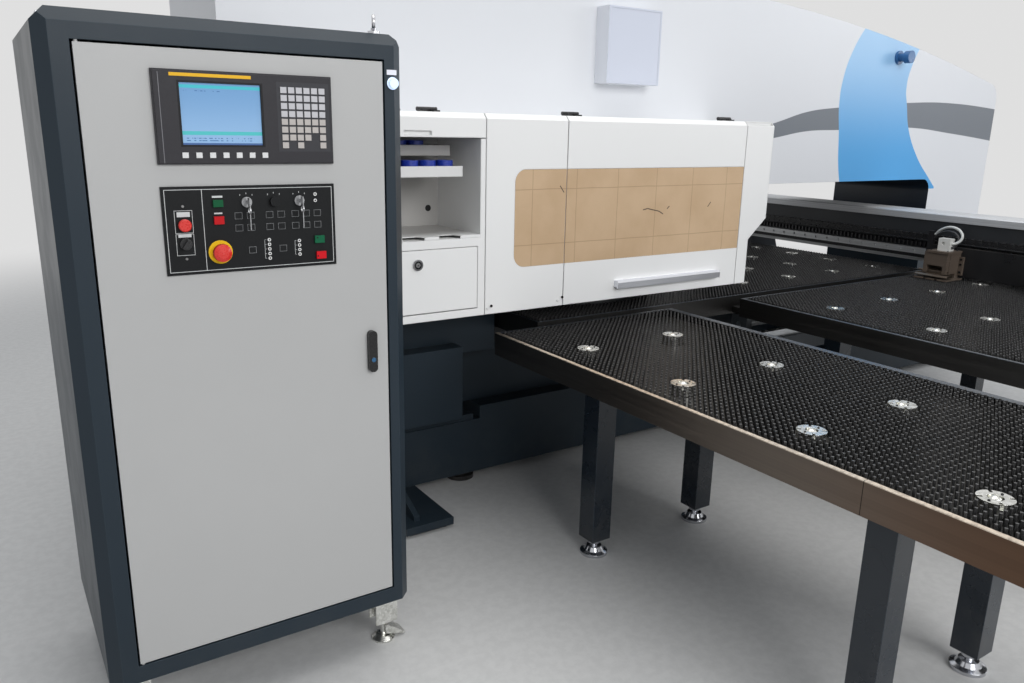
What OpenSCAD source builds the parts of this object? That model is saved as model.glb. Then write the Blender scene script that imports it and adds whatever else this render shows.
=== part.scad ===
// Turret punch press with a closed O frame, a guarded turret, brush tables,
// a cross beam that carries the sheet clamps, and a free-standing control cabinet.
// X runs along the frame, Y across it, and Z is up from the floor.

/* [Frame] */
// Distance from the origin to the right end of the frame
frame_right = 2711; // [2500:10:2900]
// Length of the frame along X
frame_len = 4836; // [4600:10:5000]
// Thickness of the frame across the machine
frame_t = 660; // [600:10:720]
// Height of the crown of the frame
frame_crown = 2143; // [2060:1:2250]
// Radius of the arched top edge
crown_r = 14140; // [12000:20:18000]
// Distance of the crown to the left of the origin
crown_left = 347; // [250:1:450]
// Height of the underside of the upper arm
throat_top = 1248; // [1220:5:1300]
// Distance from the origin to the inner face of the right column
throat_right = 2085; // [2060:5:2120]
// Distance from the origin to the left end of the throat
throat_left = 1060; // [1030:5:1100]
// Radius of the corners of the throat
throat_r = 70; // [40:5:90]
// Height of the joint between the dark base and the upper frame
split_z = 850; // [830:5:870]

/* [Base] */
// Gap between the floor and the base
base_gap = 45; // [30:5:60]
// Height of the top of the base flange
flange_top = 342; // [330:1:360]
// Width of the narrow spine above the flange
spine_w = 480; // [460:10:500]
// Height of the top of the spine
spine_top = 590; // [580:5:600]

/* [Turret] */
// Distance from the origin to the turret axis
turret_x = 530; // [520:5:540]
// Radius of both turret discs
turret_r = 450; // [430:5:460]
// Radius of the outer circle of stations
station_r = 380; // [365:5:390]
// Number of stations on the outer circle
stations = 20; // [12:1:22]
// Radius of a large station bore
station_bore = 30; // [24:1:34]
// Number of stations on the inner circle
small_stations = 14; // [8:1:16]
// Radius of a small station bore
small_bore = 18; // [14:1:22]
// Radius of the turret shafts
shaft_r = 60; // [50:2:70]
// Radius of the ram
ram_r = 45; // [38:1:50]

/* [Hood] */
// Distance of the hood's front face from the machine's centre plane
hood_front = 730; // [720:5:740]
// Height of the hood's top
hood_top = 1547; // [1530:1:1560]
// Height of the hood's bottom edge
hood_bottom = 849; // [840:1:855]
// Thickness of the hood's sheet metal
hood_t = 3; // [2:0.5:4]
// Width of the sloping edge along the hood's top
hood_bevel = 18; // [12:1:24]
// Gap at the seams between the panels
seam = 3; // [2:0.5:5]

/* [Brush tables] */
// Height of the bristle tips
table_top = 773; // [765:1:775]
// Height of the apron round a table
apron_h = 90; // [70:5:110]
// Distance of the outer end of the side tables from the centre plane
table_end = 2730; // [2500:10:2900]
// Distance of the inner end of the side tables from the centre plane
table_inner = 697; // [692:1:710]
// Half width of the centre table
centre_half = 632; // [620:1:636]
// Pitch of the brush rows
brush_pitch = 25; // [22:1:30]
// Width of one brush row
brush_w = 12; // [9:1:15]
// Height of the bristle tips above the brush bodies
tip_h = 10; // [8:1:15]
// Radius of a ball transfer unit
ball_unit_r = 38; // [30:1:45]
// Side of a square table leg
leg_w = 80; // [70:2:90]
// Radius of a levelling foot
foot_r = 50; // [40:1:60]

/* [Cross beam] */
// Distance from the origin to the front face of the beam at home
beam_x = 1520; // [1500:5:1530]
// Depth of the beam
beam_d = 200; // [180:5:210]
// Length of the beam
beam_len = 5000; // [4800:20:5200]
// Height of the beam's underside
beam_z = 850; // [845:1:855]
// Height of the beam's section
beam_h = 223; // [210:1:240]
// Width of a guide rail
rail_w = 35; // [30:1:38]
// Height of a guide rail
rail_h = 30; // [26:1:32]
// Distance between the screw holes along a guide rail
rail_hole_pitch = 80; // [60:5:105]
// Pitch of the rack teeth
tooth_pitch = 25; // [20:1:30]
// Number of teeth on the carriage pinion
pinion_teeth = 8; // [8:1:9]
// Radius of the ball screw
screw_r = 20; // [16:1:25]

/* [Clamp carriage] */
// Length of the carriage along the beam
carriage_len = 1420; // [1380:20:1560]
// Distance of the carriage's inner end from the centre plane
carriage_end = 730; // [720:10:780]
// Number of sheet clamps
clamps = 3; // [2:1:3]
// Distance between clamps
clamp_pitch = 560; // [540:10:580]
// Width of the jaws of a clamp
clamp_w = 174; // [150:2:190]
// Width of a clamp's body
clamp_body_w = 124; // [110:2:130]

/* [Control cabinet] */
// Distance from the origin to the cabinet's left side
cab_left = 2711; // [2650:1:2800]
// Width of the cabinet
cab_w = 805; // [780:1:815]
// Distance of the cabinet's front from the centre plane
cab_front = 1230; // [1200:5:1300]
// Depth of the cabinet
cab_d = 600; // [500:10:620]
// Height of the cabinet's underside
cab_z = 158; // [120:2:180]
// Height of the cabinet's body
cab_h = 1560; // [1540:5:1700]
// Width of the chamfer round the cabinet's front
cab_chamfer = 28; // [15:1:35]
// Width of the cabinet door
door_w = 676; // [660:1:680]
// Height of the cabinet door
door_h = 1443; // [1420:1:1450]

/* [Hidden] */
$fn = 48;

white = [0.86, 0.87, 0.87];
warm_white = [0.92, 0.92, 0.90];
slate = [0.20, 0.25, 0.29];
steel = [0.62, 0.62, 0.62];
brushed = [0.47, 0.43, 0.39];
bristle = [0.05, 0.05, 0.06];
kraft = [0.78, 0.65, 0.49];
dark = [0.12, 0.12, 0.13];
bronze = [0.45, 0.39, 0.33];

half_t = frame_t / 2;
frame_left = frame_right - frame_len;
turret = -turret_x;
eps = 0.01;

// A box from its lowest to its highest corner
module block(x0, x1, y0, y1, z0, z1) {
    translate([x0, y0, z0]) cube([x1 - x0, y1 - y0, z1 - z0]);
}

// Round bars along the three axes
module rod_x(x0, x1, y, z, r) {
    translate([x0, y, z]) rotate([0, 90, 0]) cylinder(r = r, h = x1 - x0);
}
module rod_y(y0, y1, x, z, r) {
    translate([x, y1, z]) rotate([90, 0, 0]) cylinder(r = r, h = y1 - y0);
}
module rod_z(z0, z1, x, y, r) {
    translate([x, y, z0]) cylinder(r = r, h = z1 - z0);
}

// Sets a flat outline upright, in X and Z, between two distances across the machine
module upright(y0, y1) {
    translate([0, y1, 0]) rotate([90, 0, 0]) linear_extrude(y1 - y0) children();
}

// Runs a section drawn in Y and Z along X
module along_x(x0, x1) {
    translate([x0, 0, 0]) rotate([90, 0, 90]) linear_extrude(x1 - x0) children();
}

// Runs a section drawn in X and Z along Y
module along_y(y0, y1) {
    upright(y0, y1) children();
}

// A rectangle with rounded corners, from corner to corner
module round_rect(x0, z0, x1, z1, r) {
    translate([x0 + r, z0]) square([x1 - x0 - 2 * r, z1 - z0]);
    translate([x0, z0 + r]) square([x1 - x0, z1 - z0 - 2 * r]);
    for (x = [x0 + r, x1 - r], z = [z0 + r, z1 - r]) translate([x, z]) circle(r);
}

// Each side of the centre plane
module both_sides() {
    children();
    mirror([0, 1, 0]) children();
}

// Frame

crown_cz = frame_crown - crown_r;
function crown(x) = crown_cz + sqrt(crown_r * crown_r - (x + crown_left) * (x + crown_left));
end_round = 100;

function arc(cx, cz, r, a0, a1, n) = [
    for (i = [0:n]) [cx + r * cos(a0 + (a1 - a0) * i / n), cz + r * sin(a0 + (a1 - a0) * i / n)]
];

// The frame's side outline: upright ends, rounded shoulders and an arched top
module frame_outline() {
    right_in = frame_right - end_round;
    left_in = frame_left + end_round;
    top_steps = 28;
    polygon(concat(
        [[frame_left, split_z], [frame_right, split_z]],
        arc(right_in, crown(right_in) - end_round, end_round, 0, 78, 8),
        [for (i = [1:top_steps - 1])
            let (x = right_in + (left_in - right_in) * i / top_steps) [x, crown(x)]],
        arc(left_in, crown(left_in) - end_round, end_round, 98, 180, 8)
    ));
}

pin_x = 1590;
pin_z = crown(pin_x) - 86;
pin_r = 22;
pin_fit = 0.3;

module upper_frame() {
    color(white) difference() {
        upright(-half_t, half_t) difference() {
            frame_outline();
            round_rect(-throat_left, split_z - 2 * throat_r, throat_right, throat_top, throat_r);
        }
        rod_y(-half_t - 1, half_t + 1, pin_x, pin_z, pin_r + pin_fit);
    }
}

pin_proud = 80;
cap_len = 34;

module lifting_pins() {
    color([0.16, 0.38, 0.62]) {
        rod_y(-half_t - pin_proud, half_t + pin_proud, pin_x, pin_z, pin_r);
        both_sides() {
            rod_y(-half_t - pin_proud, -half_t - pin_proud + cap_len, pin_x, pin_z, pin_r + 11);
            rod_y(-half_t - 12, -half_t - 0.3, pin_x, pin_z, pin_r + 14);
        }
    }
}

box_w = 292;
box_h = 304;
box_t = 80;
box_x = -577;
box_z = frame_crown - 453;

module light_box() {
    color(warm_white) difference() {
        block(box_x, box_x + box_w, -half_t - box_t, -half_t, box_z, box_z + box_h);
        block(box_x + 8, box_x + box_w - 8, -half_t - box_t - 1, -half_t - box_t + 4,
            box_z + 8, box_z + box_h - 8);
    }
    color([0.9, 0.93, 0.95]) block(box_x + 8, box_x + box_w - 8, -half_t - box_t + 1,
        -half_t - box_t + 4, box_z + 8, box_z + box_h - 8);
}

hub_r = 130;
hub_pocket = 200;
hub_fit = 0.3;
console_x = [360, 940, 1480, 2020];
console_w = 90;
console_h = 60;
way_y = 600;
way_w = 80;
way_z = 440;
foot_plate_t = 30;
foot_plate_z = 14;
step_x = -1127;
step_h = 57;

module base_frame() {
    color(slate) {
        difference() {
            union() {
                block(step_x, frame_right, -half_t, half_t, base_gap, flange_top);
                block(frame_left, step_x, -half_t, half_t, base_gap, flange_top - step_h);
                block(frame_left, frame_right, -spine_w / 2, spine_w / 2, flange_top, spine_top);
                block(frame_left, -throat_left, -half_t, half_t, spine_top, split_z);
                block(throat_right, frame_right, -half_t, half_t, flange_top, split_z);
                for (x = console_x)
                    block(x - console_w / 2, x + console_w / 2, -way_y - way_w / 2, way_y + way_w / 2,
                        way_z - console_h, way_z);
            }
            rod_z(spine_top - hub_pocket, spine_top + 1, turret, 0, hub_r + hub_fit);
        }
        // Cable duct, junction box and outrigger feet at the left of the base
        block(frame_left + 60, step_x - 30, -half_t + 6, -half_t + 46, flange_top - step_h,
            flange_top - step_h + 26);
        block(-1560, -1260, -half_t - 80, -spine_w / 2 + eps, 335, 640);
        both_sides() {
            block(-1640, -1441, -half_t - 330, -half_t + 60, foot_plate_z, foot_plate_z + foot_plate_t);
            block(-1640, -1441, -half_t + 10, -half_t + 60, foot_plate_z, base_gap + 10);
            translate([-1590, 0, 0]) along_x(0, 22) polygon([
                [-half_t + eps, foot_plate_z + foot_plate_t - eps],
                [-half_t - 290, foot_plate_z + foot_plate_t - eps],
                [-half_t - 290, foot_plate_z + foot_plate_t + 20], [-half_t + eps, foot_plate_z + 180]
            ]);
        }
    }
}

pad_x = [frame_left + 225, step_x - 53, 700, 1700, frame_right - 211];

module levelling_feet() {
    color(dark) both_sides() {
        for (x = pad_x) {
            rod_z(0, 18, x, -half_t + 80, 60);
            rod_z(18, base_gap, x, -half_t + 80, 35);
        }
        block(-1620, -1460, -half_t - 310, -half_t - 20, 0, foot_plate_z);
    }
}

// Turret

pass_z = table_top + 11;
upper_z = pass_z + 31;
upper_h = 90;
lower_h = 115;
lower_z = pass_z - 4 - lower_h;
punch_top = upper_z + upper_h + 55;
punch_bottom = upper_z - 12;
running = 0.05;
shaft_top = throat_top - 60;
hub_drop = 200;
small_station_r = station_r - station_bore - small_bore - 42;

module station_ring(count, radius) {
    for (i = [0:count - 1]) rotate([0, 0, i * 360 / count]) translate([radius, 0, 0]) children();
}

module at_turret() {
    translate([turret, 0, 0]) children();
}

module station_bores(z0, z1) {
    station_ring(stations, station_r) rod_z(z0, z1, 0, 0, station_bore);
    station_ring(small_stations, small_station_r) rod_z(z0, z1, 0, 0, small_bore);
}

module upper_turret() {
    color(steel) at_turret() difference() {
        union() {
            rotate_extrude($fn = 96) polygon([
                [0, upper_z], [turret_r - 8, upper_z], [turret_r, upper_z + 8],
                [turret_r, upper_z + upper_h - 8], [turret_r - 8, upper_z + upper_h],
                [170, upper_z + upper_h], [120, upper_z + upper_h + 45],
                [shaft_r, upper_z + upper_h + 45], [shaft_r, shaft_top], [0, shaft_top]
            ]);
        }
        station_bores(upper_z - 1, upper_z + upper_h + 1);
    }
}

module punch(bore) {
    rod_z(punch_bottom, punch_top - 18, 0, 0, bore - running);
    rod_z(punch_top - 18, punch_top, 0, 0, bore * 0.72);
    rod_z(upper_z + upper_h + 12, punch_top - 26, 0, 0, bore + 4);
}

module punches() {
    color([0.35, 0.36, 0.38]) at_turret() {
        station_ring(stations, station_r) punch(station_bore);
        station_ring(small_stations, small_station_r) punch(small_bore);
    }
}

module lower_turret() {
    color(steel) at_turret() difference() {
        rotate_extrude($fn = 96) polygon([
            [0, spine_top - hub_pocket + 20], [shaft_r, spine_top - hub_pocket + 20],
            [shaft_r, lower_z - 20], [150, lower_z - 20],
            [190, lower_z], [turret_r - 8, lower_z], [turret_r, lower_z + 8],
            [turret_r, lower_z + lower_h - 8], [turret_r - 8, lower_z + lower_h],
            [0, lower_z + lower_h]
        ]);
        station_bores(lower_z - 1, lower_z + lower_h + 1);
    }
}

module die(bore) {
    difference() {
        rod_z(lower_z + lower_h - 34, lower_z + lower_h, 0, 0, bore - running);
        rod_z(lower_z + lower_h - 35, lower_z + lower_h + 1, 0, 0, bore * 0.45);
    }
}

module dies() {
    color([0.45, 0.45, 0.47]) at_turret() {
        station_ring(stations, station_r) die(station_bore);
        station_ring(small_stations, small_station_r) die(small_bore);
    }
}

// Bearing housings of both turrets, with the indexing motor on the upper one
module turret_drive() {
    color([0.3, 0.33, 0.36]) {
        difference() {
            union() {
                rod_z(throat_top - hub_drop + 30, throat_top, turret, 0, hub_r);
                block(turret - 330, turret - 60, -85, 85, throat_top - 150, throat_top);
            }
            rod_z(throat_top - hub_drop, shaft_top + 4, turret, 0, shaft_r + running);
        }
        difference() {
            union() {
                rod_z(spine_top - hub_pocket, spine_top, turret, 0, hub_r);
                rod_z(spine_top, spine_top + 14, turret, 0, hub_r + 40);
            }
            rod_z(spine_top - hub_pocket + 16, spine_top + 15, turret, 0, shaft_r + running);
        }
        // Servo motor beside the gearbox
        rod_z(throat_top - 238, throat_top - 150, turret - 250, 0, 62);
    }
}

strike_x = turret + station_r;
ram_rest = punch_top + 34;
ram_stroke = 30;

module ram() {
    color([0.7, 0.71, 0.73]) {
        rod_z(ram_rest, ram_rest + 26, strike_x, 0, ram_r - 12);
        rod_z(ram_rest + 26, throat_top - 30, strike_x, 0, ram_r);
    }
}

module ram_cylinder() {
    color([0.3, 0.33, 0.36]) difference() {
        union() {
            rod_z(ram_rest + 60, throat_top, strike_x, 0, ram_r + 50);
            rod_z(throat_top - 34, throat_top, strike_x, 0, ram_r + 95);
        }
        rod_z(ram_rest + 59, throat_top - 16, strike_x, 0, ram_r + running);
    }
}

// Hood

flap_left = -1873;
flap_right = -1357;
door_left = -1006;
door_right = -55;
hood_right = 115;
knee_z = 1133;
knee_drop = 90;
knee_in = 104;
hinge_y = -hood_front + 80;
hinge_z = hood_top + 9;
win_left = -1234;
win_z0 = 1010;
win_z1 = 1359;
win_r = 45;
pane_t = 3;
pane_gap = 0.5;

// The folded sheet over the front, the sloping edge and the top, drawn in Y and Z
module hood_fold(y_back, z_low) {
    f = -hood_front;
    t = hood_t;
    polygon([
        [f, z_low], [f, hood_top - hood_bevel], [f + hood_bevel, hood_top], [y_back, hood_top],
        [y_back, hood_top - t], [f + hood_bevel + t * 0.4, hood_top - t],
        [f + t, hood_top - hood_bevel - t * 0.4], [f + t, z_low]
    ]);
}

module window_cut() {
    upright(-hood_front - 1, -hood_front + hood_t + 1)
        difference() {
            round_rect(win_left, win_z0, 2 * door_right - win_left, win_z1, win_r);
            translate([door_right, 0]) square([2 * win_z1, 2 * win_z1]);
        }
}

// Front view of the right end piece, with the knee that clears the sheet
module end_outline(inset) {
    polygon([
        [door_right + seam / 2 + inset, hood_bottom + inset],
        [hood_right - knee_in - inset, hood_bottom + inset],
        [hood_right - knee_in - inset, knee_z - knee_drop + inset * 0.4],
        [hood_right - inset, knee_z + inset * 0.4],
        [hood_right - inset, hood_top - inset], [door_right + seam / 2 + inset, hood_top - inset]
    ]);
}

module near_hood() {
    difference() {
        union() {
            along_x(flap_right + seam, door_left - seam / 2) hood_fold(-half_t, hood_bottom);
            along_x(door_left - seam / 2, door_right + seam / 2) polygon([
                [hinge_y + seam, hood_top], [-half_t, hood_top],
                [-half_t, hood_top - hood_t], [hinge_y + seam, hood_top - hood_t]
            ]);
            // Left wall, and the folded right end piece
            block(flap_right + seam, flap_right + seam + hood_t, -hood_front, -half_t,
                hood_bottom, hood_top - hood_bevel);
            difference() {
                upright(-hood_front, -half_t) end_outline(0);
                upright(-hood_front + hood_t, -half_t + 1) end_outline(hood_t);
                block(door_right, door_right + seam / 2 + hood_t + eps, -hood_front + 30, -half_t + 1,
                    hood_bottom - 1, hood_top - hood_t);
                translate([0, -hood_front, hood_top]) rotate([45, 0, 0])
                    block(door_right - 5, hood_right + 5, -hood_bevel, hood_bevel,
                        -hood_bevel * 0.7071, hood_bevel);
            }
            block(door_right + seam / 2, hood_right, -hood_front + hood_bevel - 1,
                -hood_front + hood_bevel + hood_t, hood_top - hood_bevel * 1.5, hood_top - hood_t / 2);
        }
        window_cut();
        for (x = [flap_right + seam + 10, door_left - 24]) rod_y(-hood_front - 1, -hood_front + 10, x,
            hood_bottom + 21, 4.5);
    }
    // Screws in the lower corners, and a rear stile behind the window
    for (x = [flap_right + seam + 10, door_left - 24])
        rod_y(-hood_front - 2, -hood_front + hood_t, x, hood_bottom + 21, 4.5);
    block(door_left - seam / 2 - 22, door_left - seam / 2, -hood_front + hood_t,
        -hood_front + hood_t + 4, win_z0 - 20, win_z1 + 20);
}

// The far cover is plain and closed
module far_hood() {
    difference() {
        along_x(flap_left, hood_right) polygon([
            [half_t, hood_bottom], [hood_front, hood_bottom], [hood_front, hood_top - hood_bevel],
            [hood_front - hood_bevel, hood_top], [half_t, hood_top]
        ]);
        along_x(flap_left + hood_t, hood_right - hood_t) polygon([
            [half_t - 1, hood_bottom - 1], [hood_front - hood_t, hood_bottom - 1],
            [hood_front - hood_t, hood_top - hood_bevel - hood_t * 0.4],
            [hood_front - hood_bevel - hood_t * 0.4, hood_top - hood_t], [half_t - 1, hood_top - hood_t]
        ]);
        upright(half_t - 1, hood_front + 1) polygon([
            [hood_right - knee_in, hood_bottom - 1], [hood_right + 1, hood_bottom - 1],
            [hood_right + 1, knee_z], [hood_right - knee_in, knee_z - knee_drop]
        ]);
    }
    difference() {
        upright(half_t, hood_front) polygon([
            [hood_right - knee_in - hood_t, hood_bottom], [hood_right - knee_in, hood_bottom],
            [hood_right - knee_in, knee_z - knee_drop], [hood_right, knee_z],
            [hood_right, knee_z + 20], [hood_right - hood_t, knee_z + 20],
            [hood_right - hood_t, knee_z + hood_t], [hood_right - knee_in - hood_t, knee_z - knee_drop + hood_t]
        ]);
    }
}

module hood_shells() {
    color(warm_white) {
        near_hood();
        far_hood();
    }
}

module pane(x0, x1) {
    color(kraft) intersection() {
        upright(-hood_front, -hood_front + pane_t) round_rect(win_left + pane_gap, win_z0 + pane_gap,
            2 * door_right - win_left, win_z1 - pane_gap, win_r - pane_gap);
        block(x0, x1, -hood_front - 1, -hood_front + 10, win_z0, win_z1);
    }
}

module hood_window() {
    pane(win_left, door_left - seam / 2 - pane_gap);
}

module door_window() {
    pane(door_left + seam / 2 + pane_gap, door_right - seam / 2 - pane_gap);
}

door_mid = (door_left + door_right) / 2;
flap_mid = (flap_left + flap_right) / 2;
hinge_xs = [door_mid - 412, door_mid + 412, flap_mid - 73, flap_mid + 73];
hinge_len = 74;
knuckle_r = 7;
hinge_pin_r = 3;

// Knuckle at the middle of a hinge, on the fixed leaf
module hinge_half(x, side) {
    third = hinge_len / 3;
    y_leaf = side * 26;
    difference() {
        union() {
            if (side > 0) rod_x(x - third / 2, x + third / 2, hinge_y, hinge_z, knuckle_r);
            else for (k = [-1, 1])
                rod_x(x + k * third - third / 2 + 0.5 * (k > 0 ? 1 : 0), x + k * third + third / 2
                    - 0.5 * (k < 0 ? 1 : 0), hinge_y, hinge_z, knuckle_r);
            if (side > 0) block(x - third / 2, x + third / 2, hinge_y, hinge_y + y_leaf, hood_top, hood_top + 6);
            else for (k = [-1, 1])
                block(x + k * third - third / 2 + 0.5 * (k > 0 ? 1 : 0), x + k * third + third / 2
                    - 0.5 * (k < 0 ? 1 : 0), hinge_y + y_leaf, hinge_y, hood_top, hood_top + 6);
        }
        rod_x(x - hinge_len, x + hinge_len, hinge_y, hinge_z, hinge_pin_r + (side > 0 ? 0 : running));
    }
}

// Fixed leaves with their pins
module hood_hinges() {
    color(dark) for (x = hinge_xs) {
        hinge_half(x, 1);
        rod_x(x - hinge_len / 2, x + hinge_len / 2, hinge_y, hinge_z, hinge_pin_r);
    }
}

module hood_door() {
    x0 = door_left + seam / 2;
    x1 = door_right - seam / 2;
    color(warm_white) {
        difference() {
            along_x(x0, x1) hood_fold(hinge_y - 0.5, hood_bottom);
            window_cut();
        }
        // Stiles behind the pane, and a folded lower edge
        for (x = [x0, x1 - 22]) block(x, x + 22, -hood_front + hood_t, -hood_front + hood_t + 4,
            win_z0 - 30, win_z1 + 30);
        block(x0, x1, -hood_front + hood_t, -hood_front + 22, hood_bottom, hood_bottom + hood_t);
    }
    color(dark) for (i = [0, 1]) hinge_half(hinge_xs[i], -1);
}

bar_x0 = -753;
bar_x1 = -178;
bar_z = 908;

module door_handle() {
    color([0.82, 0.83, 0.86]) along_x(bar_x0, bar_x1) polygon([
        [-hood_front, bar_z - 10], [-hood_front - 16, bar_z - 10], [-hood_front - 16, bar_z - 15],
        [-hood_front - 26, bar_z - 15], [-hood_front - 26, bar_z + 8], [-hood_front - 20, bar_z + 15],
        [-hood_front, bar_z + 15]
    ]);
}

// Tool cabinet at the left of the hood

niche_z0 = 1128;
niche_z1 = 1463;
niche_back = -420;
low_z0 = 876;
low_z1 = 1098;
stile = 20;

module tool_cabinet() {
    l = flap_left;
    r = flap_right - eps;
    f = -hood_front;
    t = hood_t;
    color(warm_white) difference() {
        block(l, r, f, -half_t, hood_bottom, niche_z1);
        // Open niche, lower compartment, and the space behind them
        block(l + stile, r - stile, f - 1, niche_back, niche_z0, niche_z1 + 1);
        block(l + stile - 3, r - stile - 9, f - 1, f + t + 1, low_z0, low_z1);
        block(l + stile - 3, r - stile - 9, f + t, drop_y + 16, low_z0 - 6, low_z0 + 26);
        block(l + stile, r - stile, f + t, niche_back, low_z0 - 12, low_z1 + 10);
        rod_y(niche_back - 1, niche_back + 40, flap_mid - 20, 1235, 14);
        rod_x(drop_x0 - 1, drop_x1 + 1, drop_y, drop_z, drop_r + running);
    }
    color(warm_white) {
        block(l, r, hinge_y + seam, -half_t, hood_top - t, hood_top);
        block(l, r, -half_t - t, -half_t, niche_z1, hood_top - t);
        for (x = [l, r - t]) block(x, x + t, hinge_y + seam, -half_t - t, niche_z1, hood_top - t);
    }
}

tray_t = 2.5;
tray_lip = 36;
tray_zs = [1335, 1402];
tray_ys = [-690, -600];

module tool_trays() {
    l = flap_left + stile;
    r = flap_right - stile;
    color(warm_white) {
        for (i = [0, 1]) difference() {
            block(l, r - 48 + 0 * i, tray_ys[i], niche_back, tray_zs[i], tray_zs[i] + tray_lip);
            block(l - 1, r - 48 - tray_t, tray_ys[i] + tray_t, niche_back + 1, tray_zs[i] + tray_t,
                tray_zs[i] + tray_lip + 1);
        }
        // Floor tray with the two finger cut-outs in its front edge
        difference() {
            block(l, r, -hood_front, niche_back, niche_z0, niche_z0 + 11);
            block(l - 1, r + 1, -hood_front + tray_t, niche_back + 1, niche_z0 - 1, niche_z0 + 11 - tray_t);
            for (x = [flap_mid - 20, flap_mid + 118])
                translate([x, -hood_front, niche_z0 + 1]) linear_extrude(20) polygon([
                    [-42, -1], [42, -1], [28, 34], [-28, 34]
                ]);
        }
    }
}

holder_r = 30;
holder_h = 52;
holder_pitch = 66;

module tool_holders() {
    l = flap_left + stile + holder_r + 16;
    color([0.10, 0.18, 0.62]) for (i = [0, 1], k = [0:5 - i]) {
        x = l + k * holder_pitch;
        y = tray_ys[i] + tray_t + holder_r + 6;
        z = tray_zs[i] + tray_t;
        difference() {
            rod_z(z, z + holder_h - 4 * i, x, y, holder_r);
            rod_z(z + 20, z + holder_h + 1, x, y, holder_r - 9);
        }
    }
}

module tool_flap() {
    color(warm_white) difference() {
        union() {
            along_x(flap_left, flap_right) hood_fold(hinge_y - 0.5, niche_z1 + seam);
            block(flap_mid - 56, flap_mid + 56, -hood_front + hood_t - eps, -hood_front + 16,
                niche_z1 + 6, niche_z1 + 26);
        }
        block(flap_mid - 50, flap_mid + 50, -hood_front - 1, -hood_front + 12, niche_z1 + 9, niche_z1 + 23);
    }
    color(dark) for (i = [2, 3]) hinge_half(hinge_xs[i], -1);
}

lock_x = flap_mid - 6;
lock_z = 1048;
lock_r = 15;
lock_fit = 0.05;

drop_y = -hood_front + 8;
drop_z = low_z0 + 9.5;
drop_r = 3;
drop_x0 = flap_left + stile - 8;
drop_x1 = flap_right - stile + 6;

module tool_door() {
    x0 = flap_left + stile - 3 + seam / 2;
    x1 = flap_right - stile - 9 - seam / 2;
    color(warm_white) difference() {
        union() {
            block(x0, x1, -hood_front, -hood_front + hood_t, low_z0 + seam, low_z1 - seam / 2);
            block(x0 + 8, x1 - 8, -hood_front + hood_t - eps, drop_y + drop_r + 0.5,
                drop_z - drop_r - 0.5, drop_z + drop_r + 0.5);
        }
        rod_y(-hood_front - 1, -hood_front + 11, lock_x, lock_z, lock_r + lock_fit);
    }
    color(steel) rod_x(drop_x0, drop_x1, drop_y, drop_z, drop_r);
}

module tool_lock() {
    color([0.6, 0.62, 0.65]) {
        rod_y(-hood_front - 5, -hood_front - 0.3, lock_x, lock_z, lock_r + 4);
        rod_y(-hood_front - 0.3, -hood_front + 18, lock_x, lock_z, lock_r);
        block(lock_x - 8, lock_x + 8, -hood_front + 18, -hood_front + 21, lock_z - 8, lock_z + 34);
    }
}

// Brush tables

deck_z = table_top - 45;
deck_t = 5;
apron_t = 5;
nl = [-1288, -395];
nr = [37, 1640];
ledge = 32;
lip = 14;
centre_x0 = -1050;
turret_clear = 24;
brush_base = 10;
unit_gap = 4;
unit_pitch_y = 456;
unit_y0 = 1050;
unit_rows = 4;
centre_units_x = [350, 720, 1090, 1460];
centre_units_y = [140, 420];
side_units_x = [-1130, -730, 240, 640, 1040, 1440];

function side_units() = [for (x = side_units_x, j = [0:unit_rows - 1]) [x, -unit_y0 - j * unit_pitch_y]];
function centre_units() = [for (x = centre_units_x, y = centre_units_y) [x, -y]];

// A tray: deck with an apron all round
module table_deck(x0, x1, y0, y1) {
    difference() {
        block(x0, x1, y0, y1, table_top - apron_h, table_top - 6);
        block(x0 + apron_t, x1 - apron_t, y0 + apron_t, y1 - apron_t, table_top - apron_h - 1, deck_z - deck_t);
        block(x0 + apron_t, x1 - apron_t, y0 + apron_t, y1 - apron_t, deck_z, table_top + 1);
    }
}

// Folded lip round the top of an apron
module table_lip(x0, x1, y0, y1, right) {
    difference() {
        block(x0, x1, y0, y1, table_top - 9, table_top - 6);
        block(x0 + lip, x1 - right, y0 + lip, y1 - lip, table_top - 10, table_top);
    }
}

module unit_holes(units, r) {
    for (u = units) rod_z(deck_z - deck_t - 1, table_top + 1, u[0], u[1], r);
}

stem_r = 22;

module side_tables() {
    color(brushed) both_sides() difference() {
        union() {
            table_deck(nl[0], nl[1], -table_end, -table_inner);
            table_deck(nr[0], nr[1], -table_end, -table_inner);
            table_lip(nl[0], nl[1], -table_end, -table_inner, ledge);
            table_lip(nr[0], nr[1], -table_end, -table_inner, lip);
            for (x = [centre_x0 + 50, nr[0] + 23])
                block(x, x + 40, -table_inner - eps, -centre_half, table_top - 84, table_top - 56);
        }
        unit_holes(side_units(), stem_r + 0.3);
    }
}

// Rows of bristles on their base strip, as one comb drawn in X and Z
module brush_comb(x0, x1, y0, y1) {
    n = floor((x1 - x0 - brush_w) / brush_pitch);
    start = (x1 - x0 - n * brush_pitch - brush_w) / 2;
    along_y(y0, y1) polygon(concat(
        [[x1, deck_z], [x0, deck_z], [x0, deck_z + brush_base]],
        [for (i = [0:n], k = [0:3])
            [x0 + start + i * brush_pitch + (k > 1 ? brush_w : 0),
             k == 0 || k == 3 ? deck_z + brush_base : table_top - tip_h]],
        [[x1, deck_z + brush_base]]
    ));
}

module side_brushes() {
    color(bristle) both_sides() difference() {
        union() {
            brush_comb(nl[0] + lip + 1, nl[1] - ledge - 1, -table_end + lip + 1, -table_inner - lip - 1);
            brush_comb(nr[0] + lip + 1, nr[1] - lip - 1, -table_end + lip + 1, -table_inner - lip - 1);
        }
        unit_holes(side_units(), ball_unit_r + unit_gap);
    }
}

module turret_clearance(extra) {
    rod_z(0, 2000, turret, 0, turret_r + turret_clear + extra);
}

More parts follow.
